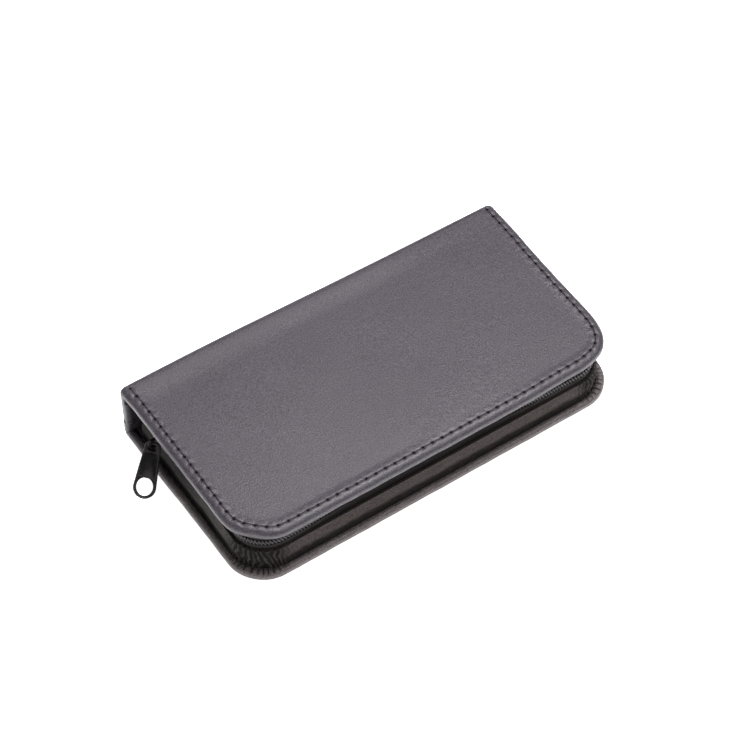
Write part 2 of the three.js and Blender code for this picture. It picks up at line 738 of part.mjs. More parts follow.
function scissors() {
  const low = footTop + FIT;
  const middle = low + SCISSORS_STEEL + FIT;
  const top = middle + SCISSORS_STEEL + FIT;
  const { x, y } = scissorsPivot;
  const screw = join(
    rod(SCREW / 2, COVER + FIT, top + SCREW_HEAD_HEIGHT, x, y),
    rod(SCREW_HEAD / 2, top, top + SCREW_HEAD_HEIGHT, x, y),
  );
  return [
    mesh("scissors_lower_half", "steel", scissorsHalf(low, -1)),
    mesh("scissors_upper_half", "steel", scissorsHalf(middle, 1)),
    mesh("scissors_screw", "steel", screw),
  ];
}

// A rectangle with its corners cut, seen from above
function tongue(x, y, length, width, tipWidth, tipLength) {
  const points = [
    [x, y - tipWidth / 2],
    [x + tipLength, y - width / 2],
    [x + length, y - width / 2],
    [x + length, y + width / 2],
    [x + tipLength, y + width / 2],
    [x, y + tipWidth / 2],
  ];
  return new THREE.Shape(points.map(([px, py]) => new THREE.Vector2(px, py)));
}

// Nail file, tweezers and cuticle pusher, which hang under the lid
function lidTools() {
  const top = lidInner - FIT;
  const bladeEnd = fileStart + fileLength;
  const handleLow = top - HANDLE_HEIGHT;
  const fileLow = top - HANDLE_HEIGHT / 2 - FILE_STEEL / 2;
  const fileHigh = fileLow + FILE_STEEL;
  const fileTip = FILE_WIDTH * FILE_TIP_SHARE;
  const bladeShape = tongue(fileStart, fileY, fileLength, FILE_WIDTH, fileTip, FILE_WIDTH);
  const blade = slab(bladeShape, fileLow, fileHigh);
  const tangHalf = FILE_TANG_WIDTH / 2;
  const socketHalf = tangHalf + GLUE_LINE;
  const tang = block(
    [bladeEnd - FILE_STEEL, fileY - tangHalf, fileLow],
    [bladeEnd + FILE_TANG, fileY + tangHalf, fileHigh],
  );
  const socket = block(
    [bladeEnd - OVERRUN, fileY - socketHalf, fileLow - GLUE_LINE],
    [bladeEnd + FILE_TANG + GLUE_LINE, fileY + socketHalf, fileHigh + GLUE_LINE],
  );
  const neckWidth = HANDLE_WIDTH * HANDLE_NECK_SHARE;
  const gripShape = tongue(handleStart, fileY, HANDLE_LENGTH, HANDLE_WIDTH, neckWidth, HANDLE_WIDTH);
  const grip = cut(slab(gripShape, handleLow, top), socket);
  const tweezersEnd = tweezersPlace.x + TWEEZERS_LENGTH;
  const low = top - TWEEZERS_HEIGHT;
  const spread = TWEEZERS_HEIGHT / 2;
  const bend = tweezersEnd - TWEEZERS_WIDTH;
  const tweezers = [
    [tweezersPlace.x, low],
    [bend, low + spread - TWEEZERS_STEEL],
    [tweezersEnd, low + spread - TWEEZERS_STEEL],
    [tweezersEnd, low + spread + TWEEZERS_STEEL],
    [bend, low + spread + TWEEZERS_STEEL],
    [tweezersPlace.x, top],
    [tweezersPlace.x, top - TWEEZERS_STEEL],
    [bend, low + spread],
    [tweezersPlace.x, low + TWEEZERS_STEEL],
  ];
  const { x: pusherX, y: pusherY } = pusherPlace;
  const rodTop = top - PUSHER_ROD / 2;
  const rodLength = pusherLength - 2 * PUSHER_TIP_LENGTH + 2 * PUSHER_ROD;
  const shaft = new THREE.CylinderGeometry(PUSHER_ROD / 2, PUSHER_ROD / 2, rodLength, ROUND_STEPS / 2);
  shaft.rotateZ(Math.PI / 2).translate(pusherX + pusherLength / 2, pusherY, rodTop);
  const tipLow = rodTop - PUSHER_TIP_STEEL / 2;
  const point = PUSHER_TIP_WIDTH * PUSHER_POINT_SHARE;
  const tipShape = (pointWidth) =>
    tongue(0, 0, PUSHER_TIP_LENGTH, PUSHER_TIP_WIDTH, pointWidth, PUSHER_TIP_WIDTH);
  const spoon = slab(tipShape(PUSHER_TIP_WIDTH / 2), tipLow, tipLow + PUSHER_TIP_STEEL);
  const hoe = slab(tipShape(point), tipLow, tipLow + PUSHER_TIP_STEEL).rotateZ(Math.PI);
  spoon.translate(pusherX, pusherY, 0);
  hoe.translate(pusherX + pusherLength, pusherY, 0);
  return [
    mesh("file_blade", "steel", join(blade, tang)),
    mesh("file_handle", "handle", grip),
    mesh("tweezers", "steel", sideBar(tweezers, TWEEZERS_WIDTH, tweezersPlace.y)),
    mesh("cuticle_pusher", "steel", join(shaft, spoon, hoe)),
  ];
}

// Elastic strap across tools. from is the height of the lining and inward the way the tools stand.
// Each tool is its middle in Y, its width and its height above the lining.
function strap(name, x, from, inward, tools) {
  const level = (height) => from + inward * height;
  const ranges = tools.map((tool) => ({ ...tool, half: tool.width / 2 + FIT }));
  const low = Math.min(...ranges.map((tool) => tool.y - tool.half)) - STRAP - STRAP_FOOT;
  const high = Math.max(...ranges.map((tool) => tool.y + tool.half)) + STRAP + STRAP_FOOT;
  const piece = (y1, y2, heightLow, heightHigh, width) => {
    const levels = [level(heightLow), level(heightHigh)].sort((a, b) => a - b);
    return block([x - width / 2, y1, levels[0]], [x + width / 2, y2, levels[1]]);
  };
  const foot = piece(low, high, 0, STRAP, STRAP_WIDTH);
  const roofs = ranges.map((tool) => {
    const outside = tool.half + STRAP;
    return piece(tool.y - outside, tool.y + outside, 0, tool.height + FIT + STRAP, STRAP_WIDTH);
  });
  const spaces = ranges.map((tool) =>
    piece(tool.y - tool.half, tool.y + tool.half, -OVERRUN, tool.height + FIT, STRAP_WIDTH + OVERRUN),
  );
  return mesh(name, "elastic", cut(join(foot, ...roofs), ...spaces));
}

function baseStraps() {
  const clipperStrapX = clipperTip.x + CLIPPER_LENGTH * CLIPPER_STRAP_SHARE;
  const run = CLIPPER_LENGTH - CLIPPER_HEEL - CLIPPER_JAW_LENGTH;
  const rise = (clipperStrapX - clipperTip.x - CLIPPER_JAW_LENGTH - STRAP_WIDTH / 2) / run;
  const slope = CLIPPER_JAW_GAP * rise;
  const clipperTop = CLIPPER_PIN_HEAD_HEIGHT + 2 * CLIPPER_STEEL + CLIPPER_JAW_GAP - slope + FIT;
  const clipper = [{ y: clipperTip.y, width: CLIPPER_WIDTH, height: clipperTop }];
  const scissorsStrapX = scissorsPivot.x + SHANK_LENGTH * SCISSORS_STRAP_SHARE;
  const bowsApart = BOW_WIDTH + BOW_GAP;
  const shankSlope = bowsApart / 2 / SHANK_LENGTH;
  const shankY = scissorsPivot.y - (SCISSORS_STRAP_SHARE * bowsApart) / 2;
  const shankHeight = GUSSET_SKIN + FIT + SCISSORS_STEEL;
  const shank = [{ y: shankY, width: BLADE_WIDTH + shankSlope * STRAP_WIDTH, height: shankHeight }];
  return [
    strap("clipper_strap", clipperStrapX, COVER, 1, clipper),
    strap("scissors_strap", scissorsStrapX, COVER, 1, shank),
  ];
}

function lidStraps() {
  const fileHeight = FIT + HANDLE_HEIGHT / 2 + FILE_STEEL / 2;
  return Object.entries(LID_STRAP_SHARES).map(([name, share]) => {
    const x = (pusherLength / 2 - PUSHER_TIP_LENGTH) * share;
    const onHandle = x + STRAP_WIDTH / 2 > handleStart;
    const width = onHandle ? HANDLE_WIDTH : FILE_WIDTH;
    const height = onHandle ? FIT + HANDLE_HEIGHT : fileHeight;
    const tools = [
      { y: fileY, width, height },
      { y: tweezersPlace.y, width: TWEEZERS_WIDTH, height: FIT + TWEEZERS_HEIGHT },
      { y: pusherPlace.y, width: PUSHER_ROD, height: FIT + PUSHER_ROD },
    ];
    return strap(name, x, lidInner, -1, tools);
  });
}

function manicureCase() {
  const root = new THREE.Group();
  const walls = zipWalls();
  const chain = zipChain();
  root.add(
    ...coverPanel("base", 0, 1, BASE_OUTLINE),
    ...walls.base,
    ...chain.base,
    ...nailClipper(),
    ...scissors(),
    ...baseStraps(),
    foldLeather("base_fold_leather", FOLD_RADIUS, -Math.PI / 2),
    ...spinePanel(),
    foldLeather("lid_fold_leather", CASE_HEIGHT - FOLD_RADIUS, 0),
    ...coverPanel("lid", CASE_HEIGHT, -1, LID_OUTLINE),
    ...walls.lid,
    ...chain.lid,
    ...lidTools(),
    ...lidStraps(),
    ...sliderAndPuller(),
  );
  return root;
}

export default manicureCase();
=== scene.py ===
import math

import bmesh
import bpy
import numpy as np
from mathutils import Matrix, Vector
from mathutils.geometry import delaunay_2d_cdt


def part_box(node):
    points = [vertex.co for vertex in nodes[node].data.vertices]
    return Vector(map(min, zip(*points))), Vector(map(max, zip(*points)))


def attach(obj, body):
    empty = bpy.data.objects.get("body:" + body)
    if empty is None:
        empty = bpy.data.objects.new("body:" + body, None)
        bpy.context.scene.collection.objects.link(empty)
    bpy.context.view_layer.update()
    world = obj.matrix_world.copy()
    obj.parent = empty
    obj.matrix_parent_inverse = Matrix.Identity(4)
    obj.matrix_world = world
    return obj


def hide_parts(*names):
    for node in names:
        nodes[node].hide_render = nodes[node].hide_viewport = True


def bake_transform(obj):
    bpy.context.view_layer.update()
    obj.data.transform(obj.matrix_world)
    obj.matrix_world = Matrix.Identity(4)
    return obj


# Looks of a zip-round manicure set case: padded leather covers with turned edges, a pleated
# gusset, a coil zip with its puller, and the tools inside. Metres, in the frame of the CAD model.

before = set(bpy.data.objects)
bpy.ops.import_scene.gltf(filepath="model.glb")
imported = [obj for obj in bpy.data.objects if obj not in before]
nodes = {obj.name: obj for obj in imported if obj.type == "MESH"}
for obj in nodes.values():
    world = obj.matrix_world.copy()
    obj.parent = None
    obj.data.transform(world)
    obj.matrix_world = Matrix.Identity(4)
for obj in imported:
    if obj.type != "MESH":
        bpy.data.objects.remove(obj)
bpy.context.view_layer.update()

# The small gap between pieces that don't touch
CLEARANCE = 0.0002

# Sizes that follow the frame
LID_LOW, LID_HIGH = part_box("lid_leather")
BASE_LOW, BASE_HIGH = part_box("base_leather")
HALF_LENGTH = LID_HIGH.x
FRONT = BASE_LOW.y
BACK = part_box("spine_leather")[1].y
HEIGHT = LID_HIGH.z
COVER = BASE_HIGH.z
LID_INNER = LID_LOW.z
ROLL = BACK - LID_HIGH.y
PANEL_END = BACK - ROLL
GUSSET_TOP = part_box("base_gusset")[1].z

# Covers: corners as (size, cut, point), turned edges and the lines where the spine is split
LID_CORNER = (0.0185, 0.75, 0.0)
LID_RIGHT_CORNER = (0.0190, -0.3, 0.6)
LID_SETBACK = LID_LOW.y - FRONT + 0.0001
LID_BOW = 0.0001
LID_RIGHT_BACK = 0.0008
BASE_CORNER = (0.014, 0.0, 0.0)
HEM = 0.008
BAND_DEPTH = 0.0065
SPLIT_LOW = 0.0070
SPLIT_HIGH = HEIGHT - 0.0062
NET_STEP = 0.0016
ARC_STEPS = 10
HEM_STEPS = 16
SPINE_COLUMNS = 90

# Stitches
STITCH_INSET = 0.0030
STITCH_PITCH = 0.0037
STITCH_GAP = 0.0006
STITCH_DIP = 0.00030
GROOVE_HALF = 0.00016
HOLE_HALF = 0.00048
PIT_HALF = 0.00042
BEAD_INSET = 0.0022
SHOULDER_INSET = 0.0040
BEAD_HALF = 0.0007
THREAD_RADIUS = 0.00012
STEPS_PER_STITCH = 16
THREAD_STEPS = 24
THREAD_RINGS = 9
TUBE_SIDES = 6

# Gusset and zip
WALL_CORNER = (0.016, 0.0, 0.0)
WALL_END = BACK - 0.0065
GUSSET_INSET = 0.0032
GUSSET_SKIN = 0.0008
GUSSET_STEP = 0.00018
GUSSET_ROWS = 34
GUSSET_CREASE_INSET = 0.0025
GUSSET_FOOT_END = GUSSET_INSET + 0.0048
PLEAT_PITCH = 0.0017
TAPE_INSET = 0.0042
TAPE = 0.0006
TAPE_STEP = 0.0006
TAPE_ROWS = 12
CHAIN_INSET = 0.0045
CHAIN_HEIGHT = 0.0150
CHAIN_LEAN = 0.0017
COIL_PITCH = 0.00115
COIL_STEPS = 12
COIL_WIRE = 0.00030
COIL_LOOP = (0.00062, 0.00092)
COIL_APART = 0.00035

# Puller: its plate, with halves of the hole's sizes and of the eye's width, and how it hangs
PULLER_PIVOT = 0.0021
PULLER_REACH = 0.0190
PULLER_RING = 0.0078
PULLER_TOP = 0.0053
PULLER_SHOULDER = (0.0006, 0.0011)
PULLER_HOLE = (0.0028, 0.0031)
PULLER_EYE = (0.0015, 0.0026)
PULLER_BAR = 0.0008
PULLER_METAL = 0.0008
PULLER_ROUNDING = 0.00016
PULLER_RIM = 0.00042
RIM_METAL = 0.0003
RIM_ROUNDING = 0.0001
RIM_LIFT = 0.00045
PULLER_SWING = math.radians(40)
PULLER_LEAN = math.radians(28)
PULLER_TWIST = math.radians(37)

# Inside
PANEL_BACK = BACK - 0.0035
LINING_STEP = 0.0012
HINGE_COLUMNS = 60
LINING_GAP = 0.0004
STRAP = 0.0007
STRAP_RIBS = 15
STRAP_STEP = 0.0004

# Stage
PHOTO_PIXELS = 750
FOCAL_PIXELS = 2303
CAMERA_PLACE = (-0.26576, -0.39577, 0.62706)
CAMERA_WAY = (0.3441, 0.5129, -0.7865)
WORLD_LIGHT = (0.18, 0.45)
FLOOR_GLOW = 0.9
FLOOR_REACH = 1.6
FLOOR_DROP = 0.00002
LIT_POINT = (0.0, 0.0, 0.01)


# Materials


class Nodes:
    """Adds nodes to a tree. A value is a number, a colour or another node's socket."""

    def __init__(self, tree):
        self.tree = tree

    def feed(self, socket, value):
        if isinstance(value, bpy.types.NodeSocket):
            self.tree.links.new(value, socket)
        else:
            socket.default_value = value

    def node(self, kind, settings=None, **inputs):
        made = self.tree.nodes.new(kind)
        for key, value in (settings or {}).items():
            setattr(made, key, value)
        for key, value in inputs.items():
            self.feed(made.inputs[key.replace("_", " ")], value)
        return made

    def remap(self, value, low, high, to_low, to_high, kind="LINEAR"):
        ends = {"From_Min": low, "From_Max": high, "To_Min": to_low, "To_Max": to_high}
        settings = {"interpolation_type": kind}
        return self.node("ShaderNodeMapRange", settings, Value=value, **ends).outputs["Result"]

    def maths(self, operation, first, second):
        made = self.node("ShaderNodeMath", {"operation": operation})
        self.feed(made.inputs[0], first)
        self.feed(made.inputs[1], second)
        return made.outputs["Value"]

    def mix(self, share, first, second):
        made = self.node("ShaderNodeMix", {"data_type": "RGBA"})
        for number, value in zip((0, 6, 7), (share, first, second)):
            self.feed(made.inputs[number], value)
        return made.outputs[2]


class Look(Nodes):
    """A node material built from patterns in the frame's own coordinates, in metres."""

    def __init__(self, name, metallic=0.0, specular=0.5):
        self.material = bpy.data.materials.new(name)
        self.material.use_nodes = True
        super().__init__(self.material.node_tree)
        self.shader = self.tree.nodes["Principled BSDF"]
        self.set(Metallic=metallic, Specular_IOR_Level=specular)
        self.place = self.node("ShaderNodeTexCoord").outputs["Object"]

    def set(self, **inputs):
        """Numbers, colours or patterns on the shader's own sockets."""
        for key, value in inputs.items():
            self.feed(self.shader.inputs[key.replace("_", " ")], value)

    def noise(self, size, detail=3.0, place=None):
        inputs = {"Scale": 1 / size, "Detail": detail, "Roughness": 0.55}
        made = self.node("ShaderNodeTexNoise", Vector=place or self.place, **inputs)
        return made.outputs["Fac"]

    def clouds(self, size, detail, low, high):
        """Noise whose usual range runs from low to high."""
        return self.remap(self.noise(size, detail), 0.3, 0.7, low, high)

    def cells(self, size, feature="F1"):
        inputs = {"Vector": self.place, "Scale": 1 / size, "Randomness": 1.0}
        return self.node("ShaderNodeTexVoronoi", {"feature": feature}, **inputs).outputs["Distance"]

    def bands(self, size, direction, distortion=0.0):
        settings = {"wave_type": "BANDS", "bands_direction": direction}
        inputs = {"Scale": math.pi / (20 * size), "Distortion": distortion}
        return self.node("ShaderNodeTexWave", settings, Vector=self.place, **inputs).outputs["Fac"]

    # The painted shade of each point, darkest in folds, stitch holes and shaded parts
    def crease_and_painted_shade(self):
        return self.node("ShaderNodeAttribute", {"attribute_name": "crease_and_painted_shade"}).outputs["Fac"]

    def relief(self, *layers):
        """Bump from (height, depth in metres) layers, each over the one before."""
        under = {}
        for height, depth in layers:
            made = self.node("ShaderNodeBump", Height=height, Distance=depth, Strength=1.0, **under)
            under = {"Normal": made.outputs["Normal"]}
        self.set(**under)

    def finished(self, share, dark, light, roughness, *layers):
        """The material, with a colour between two by a share, its roughness and its relief."""
        self.set(Base_Color=self.mix(share, rgb(dark), rgb(light)), Roughness=roughness)
        self.relief(*layers)
        return self.material


def rgb(text):
    """A display colour such as 6f6c72 as linear light with alpha."""
    parts = [int(text[i : i + 2], 16) / 255 for i in (0, 2, 4)]
    linear = [p / 12.92 if p <= 0.04045 else ((p + 0.055) / 1.055) ** 2.4 for p in parts]
    return (*linear, 1.0)


def leather_look(name, dark, light, speckle, painted_shade_colour, roughness, specular, front=None):
    """Grained leather; front is a pair of lighter colours that it takes away from the spine, as
    painted light.

    A point attribute of painted shade darkens it toward its painted shade colour where it is folded
    or shaded. A dull leather has the same specular level there, a glossier one loses it there as
    painted shade."""
    look = Look(name, specular=specular)
    grain = look.cells(0.00060, "SMOOTH_F1")
    fine = look.noise(0.00026)
    pore = look.noise(0.00042, 2.0)
    speckled = look.remap(pore, 0.36, 0.64, 0.0, 1.0)
    tone_and_painted_light = look.mix(look.clouds(0.022, 3.0, 0.0, 0.7), rgb(dark), rgb(light))
    tone_and_painted_light = look.mix(speckled, tone_and_painted_light, rgb(speckle))
    # Painted light: away from the spine the leather takes the lighter front colours
    if front:
        y = look.node("ShaderNodeSeparateXYZ", Vector=look.place).outputs["Y"]
        away = look.remap(y, PANEL_END - 0.010, PANEL_END - 0.001, 1.0, 0.0)
        tone_and_painted_light = look.mix(away, tone_and_painted_light, look.mix(speckled, rgb(front[0]), rgb(front[1])))
    # Painted shade: the colour goes toward the painted shade colour and the roughness rises by each
    # point's painted shade
    crease_and_painted_shade = look.crease_and_painted_shade()
    rough = look.remap(pore, 0.36, 0.64, roughness + 0.05, roughness - 0.05)
    rough = look.maths("ADD", rough, look.clouds(0.006, 2.0, -0.03, 0.04))
    rough = look.maths("ADD", rough, look.remap(crease_and_painted_shade, 0.0, 1.0, 0.0, 0.3))
    look.set(Base_Color=look.mix(crease_and_painted_shade, tone_and_painted_light, rgb(painted_shade_colour)), Roughness=rough)
    if specular > 0.2:
        look.set(Specular_IOR_Level=look.remap(crease_and_painted_shade, 0.0, 1.0, specular, 0.02))
    look.relief((look.noise(0.004, 2.0), 0.00005), (grain, 0.00005), (pore, 0.00007), (fine, 0.00005))
    return look.material


def fabric_look(name, dark, light, thread, roughness=0.85, relief=0.00007):
    """A plain weave: threads along X and Z over threads along Y."""
    look = Look(name, specular=0.15)
    across, along, upright = (look.bands(thread, axis, 0.4) for axis in "XYZ")
    weave = look.maths("MULTIPLY", look.maths("ADD", across, along), 0.5)
    weave = look.maths("MAXIMUM", weave, upright)
    fuzz = look.noise(thread * 1.7, 4.0)
    share = look.maths("MULTIPLY", weave, look.remap(fuzz, 0.25, 0.75, 0.55, 1.0))
    share = look.maths("ADD", share, look.clouds(0.012, 2.0, -0.1, 0.1))
    look.set(Sheen_Weight=0.08)
    return look.finished(share, dark, light, roughness, (weave, relief), (fuzz, relief * 0.6))


def steel_look(name, light, roughness):
    """Steel brushed along X."""
    look = Look(name, metallic=1.0)
    brush = look.node("ShaderNodeMapping", Vector=look.place, Scale=(60.0, 4000.0, 4000.0))
    lines = look.noise(1.0, 2.0, brush.outputs["Vector"])
    streak = look.remap(lines, 0.3, 0.7, roughness - 0.02, roughness + 0.03)
    rough = look.maths("ADD", streak, look.clouds(0.009, 3.0, -0.02, 0.03))
    share = look.clouds(0.009, 3.0, 0.0, 1.0)
    return look.finished(share, light, "d7d8da", rough, (lines, 0.0000015))


def lacquer_look(name, dark, light, roughness, coat):
    """Lacquer with a faint peel under a thin clear coat."""
    look = Look(name, specular=0.3)
    cloud = look.remap(look.noise(0.002), 0.35, 0.7, 0.0, 1.0)
    rough = look.remap(look.noise(0.0012, 4.0), 0.3, 0.75, roughness, roughness + 0.12)
    look.set(Coat_Weight=coat, Coat_Roughness=0.10)
    return look.finished(cloud, dark, light, rough, (look.noise(0.0007, 2.0), 0.000012))


def abrasive_look(name):
    """Steel with a crosswise cut and grit."""
    look = Look(name, metallic=1.0)
    grit = look.cells(0.00016)
    share = look.remap(grit, 0.1, 0.7, 0.0, 1.0)
    rough = look.remap(grit, 0.1, 0.7, 0.35, 0.6)
    lines = look.bands(0.00045, "DIAGONAL")
    return look.finished(share, "8e9093", "d9dadc", rough, (lines, 0.00003), (grit, 0.00004))


def plain_look(name, dark, light, roughness, size):
    """A mottled plastic or card; size is that of its patches."""
    look = Look(name, specular=0.4)
    mottled = look.noise(size, 4.0)
    share = look.remap(mottled, 0.3, 0.7, 0.0, 1.0)
    rough = look.clouds(size * 0.2, 3.0, roughness - 0.06, roughness + 0.06)
    return look.finished(share, dark, light, rough, (mottled, 0.00003))


# Leather: dark, light and speckle tones, the painted shade colour for folds and shaded parts,
# roughness and specular level
SPINE_LEATHER = ("231e25", "2a242c", "474049", "070506", 0.40, 0.45)
leather = leather_look("padded_leather", *SPINE_LEATHER)
# A copy of the leather with lighter colours away from the spine, as painted light on the base cover's
# rim
rim_leather_painted_light = leather_look("rim_leather_painted_light", *SPINE_LEATHER, ("3f3838", "6a6162"))
gusset_leather = leather_look("gusset_leather", "1f1919", "272120", "423a38", "060505", 0.50, 0.11)
tape_cloth = fabric_look("zip_tape", "0a0808", "272122", 0.00055)
coil_nylon = plain_look("coil_nylon", "151214", "302a2d", 0.32, 0.0006)
thread_dark = fabric_look("sewing_thread", "0f0c10", "272229", 0.00016, 0.7, 0.00003)
thread_pale = fabric_look("gusset_thread", "1f1c1e", "48434a", 0.00016, 0.7, 0.00003)
lining_cloth = fabric_look("lining_cloth", "1d1c1f", "353438", 0.00055)
elastic_cloth = fabric_look("elastic_cloth", "161518", "333236", 0.00070, 0.8)
steel = steel_look("brushed_steel", "b4b6ba", 0.24)
polished = steel_look("polished_steel", "c2c4c8", 0.14)
abrasive = abrasive_look("file_grit")
lacquer = lacquer_look("black_lacquer", "0b090a", "131011", 0.26, 0.15)
# A lighter copy of the lacquer for the puller's raised rim, as a painted highlight
lacquer_painted_highlight = lacquer_look("lacquer_painted_highlight", "151213", "2c2728", 0.30, 0.3)
lacquer_dull = lacquer_look("dull_lacquer", "0d0b0c", "1b1819", 0.38, 0.0)
grip_plastic = plain_look("grip_plastic", "1b191c", "29262a", 0.36, 0.0018)
board_card = plain_look("board_card", "2b292a", "3a3738", 0.85, 0.0012)


# Mesh helpers


def in_scene(name, data):
    made = bpy.data.objects.new(name, data)
    bpy.context.scene.collection.objects.link(made)
    return made


def aimed(name, data, place, way):
    """A light or a camera at a place, looking along a way."""
    made = in_scene(name, data)
    made.location = place
    made.rotation_euler = Vector(way).to_track_quat("-Z", "Y").to_euler()
    return made


def dress(data, material):
    """Gives a mesh its only material and smooth faces."""
    data.materials.clear()
    data.materials.append(material)
    data.polygons.foreach_set("use_smooth", np.ones(len(data.polygons), bool))


def settle(made, body, slot, *replaced):
    """Gives a piece its body and hides the CAD nodes that it stands for; slot is not used."""
    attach(made, body)
    if replaced:
        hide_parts(*replaced)


class Surface:
    """Collects the points and faces of one piece, with a painted shade value from 0 to 1 for each
    point.
    """

    def __init__(self):
        self.points = []
        self.faces = []
        self.crease_and_painted_shade = []
        self.count = 0

    def add(self, points, faces, crease_and_painted_shade=0.0):
        points = np.asarray(points, float).reshape(-1, 3)
        self.points.append(points)
        self.crease_and_painted_shade.append(np.broadcast_to(np.asarray(crease_and_painted_shade, float).ravel(), len(points)))
        self.faces.extend([tuple(int(i) + self.count for i in face) for face in faces])
        self.count += len(points)

    def grid(self, points, crease_and_painted_shade=0.0, close_rows=False, close_columns=False):
        """Quads over an array of points of shape (rows, columns, 3)."""
        rows, columns = points.shape[:2]
        index = np.arange(rows * columns).reshape(rows, columns)
        if close_rows:
            index = np.vstack([index, index[:1]])
        if close_columns:
            index = np.hstack([index, index[:, :1]])
        corners = [index[:-1, :-1], index[1:, :-1], index[1:, 1:], index[:-1, 1:]]
        faces = np.stack([c.ravel() for c in corners], axis=1)
        self.add(points, faces, np.broadcast_to(crease_and_painted_shade, (rows, columns)))

    def pipe(self, rows, crease_and_painted_shade=0.0):
        """A grid closed round its rows, with a face over each end."""
        self.grid(rows, crease_and_painted_shade, close_rows=True)
        for column in (0, -1):
            self.add(rows[:, column], [tuple(range(len(rows)))])

    def piece(self, name, material, merge=1e-6, shape=None):
        data = bpy.data.meshes.new(name)
        points = np.vstack(self.points)
        if shape is not None:
            points = shape(points)
        data.from_pydata(points.tolist(), [], self.faces)
        # Each point's painted shade, as an attribute that the leather looks darken by
        layer = data.attributes.new("crease_and_painted_shade", "FLOAT", "POINT")
        layer.data.foreach_set("value", np.concatenate(self.crease_and_painted_shade).astype(np.float32))
        if merge:
            weld(data, merge)
        dress(data, material)
        return in_scene(name, data)


def weld(data, distance):
    work = bmesh.new()
    work.from_mesh(data)
    bmesh.ops.remove_doubles(work, verts=work.verts, dist=distance)
    bmesh.ops.recalc_face_normals(work, faces=work.faces)
    work.to_mesh(data)
    work.free()


def smooth_step(values, low, high):
    share = np.clip((values - low) / (high - low), 0, 1)
    return share * share * (3 - 2 * share)


def bump_at(values, centre, width):
    return np.exp(-(((values - centre) / width) ** 2))


def waves(values, wavelengths, phases):
    """A slow irregular wave between about -1 and 1, made of a few sines."""
    total = sum(np.sin(2 * math.pi * values / w + p) for w, p in zip(wavelengths, phases))
    return total / len(wavelengths)


def unit(vectors):
    return vectors / np.linalg.norm(vectors, axis=1)[:, None]


def sums(steps):
    """0 and then the sum of the steps up to each."""
    return np.concatenate([[0], np.cumsum(steps)])


def run_length(points):
    """How far along a polyline each of its points is."""
    return sums(np.linalg.norm(np.diff(points, axis=0), axis=1))


def points_at(places, lengths, points):
    """What points have at places along a line, where their own places are lengths."""
    return np.column_stack([np.interp(places, lengths, column) for column in points.T])


# Paths round the case


class Outline:
    """A cover's outline round three sides, as close points with the way inwards at each.

    A corner is its size, its cut and its point, as in corner_curve. setback is how far the front
    stays inside the case's own box, bow is how far its middle comes out again, and right_back is
    how far its right end goes back."""

    def __init__(self, corner, back, setback=0.0, bow=0.0, right_back=0.0, right_corner=None):
        right_corner = right_corner or corner
        side, front, fine = HALF_LENGTH, FRONT + setback, 0.0001
        left_y = np.arange(back, front + corner[0], -fine)
        right_y = np.arange(back, front + right_corner[0], -fine)[::-1]
        flat_x = np.arange(corner[0] - side, side - right_corner[0], fine)[1:]
        level = np.column_stack([flat_x, np.full_like(flat_x, front)])
        level[:, 1] -= bow * np.maximum(0, 1 - (level[:, 0] / (side - corner[0])) ** 2)
        parts = (
            np.column_stack([np.full_like(left_y, -side), left_y]),
            corner_curve(*corner) + [-side, front],
            level,
            corner_curve(*right_corner)[::-1] * [-1, 1] + [side, front],
            np.column_stack([np.full_like(right_y, side), right_y]),
        )
        in_corner = (0.0, 1.0, 0.0, 1.0, 0.0)
        share = np.concatenate([np.full(len(part), value) for part, value in zip(parts, in_corner)])
        points = np.vstack(parts)
        x, y = points.T
        points[:, 1] += right_back * smooth_step(x, 0.026, 0.060) * smooth_step(-y, -0.01, 0.03)
        keep = np.concatenate([[True], np.linalg.norm(np.diff(points, axis=0), axis=1) > 1e-7])
        points = points[keep]
        way = unit(np.gradient(points, axis=0))
        flat = np.zeros(len(points))
        self.points = np.column_stack([points, flat])
        self.inward = np.column_stack([-way[:, 1], way[:, 0], flat])
        reach = int(0.005 / fine)
        window = np.hanning(2 * reach + 1)
        padded = np.pad(share[keep], reach, "edge")
        self.corner_share = np.convolve(padded, window / window.sum(), "valid")


def corner_curve(size, cut, point):
    """The left corner from the end of the side to the front.

    cut, from 0 to 1, flattens the corner's middle, and point makes it bend more."""
    shares = np.linspace(0, 1, 200)
    bend = 1 - cut * np.cos(4 * math.pi * shares) - point * np.cos(2 * math.pi * shares)
    angle = sums((bend[1:] + bend[:-1]) / 2)
    angle *= math.pi / 2 / angle[-1]
    middle = (angle[1:] + angle[:-1]) / 2
    down, across = sums(np.cos(middle)), sums(np.sin(middle))
    return np.column_stack([across, down[-1] - down]) * size / down[-1]


class Path:
    """Stations along an outline, evenly spaced at one inset, from its left end to its right."""

    def __init__(self, outline, inset, step, start=0.0):
        line = outline.points + inset * outline.inward
        along = run_length(line)
        self.length = along[-1] - start
        count = max(4, round(self.length / step))
        self.s = np.linspace(0, self.length, count + 1)
        places = self.s + start
        self.inward = unit(points_at(places, along, outline.inward))
        self.outline = points_at(places, along, line) - inset * self.inward
        self.corner_share = np.interp(places, along, outline.corner_share)

    def at(self, inset, z):
        """Points at an inset and a height, each a number or an array along the stations."""
        points = self.outline + self.inward * np.broadcast_to(inset, self.s.shape)[:, None]
        points[:, 2] = z
        return points


def sweep(surface, path, section, crease_and_painted_shade=None):
    """A strip along a path. section is a list of (inset, height) rows, each along the stations; the
    optional last argument is each row's painted shade.
    """
    rows = np.stack([path.at(inset, z) for inset, z in section])
    painted_shades = crease_and_painted_shade or [0.0] * len(section)
    surface.pipe(rows, np.stack([np.broadcast_to(c, path.s.shape) for c in painted_shades]))


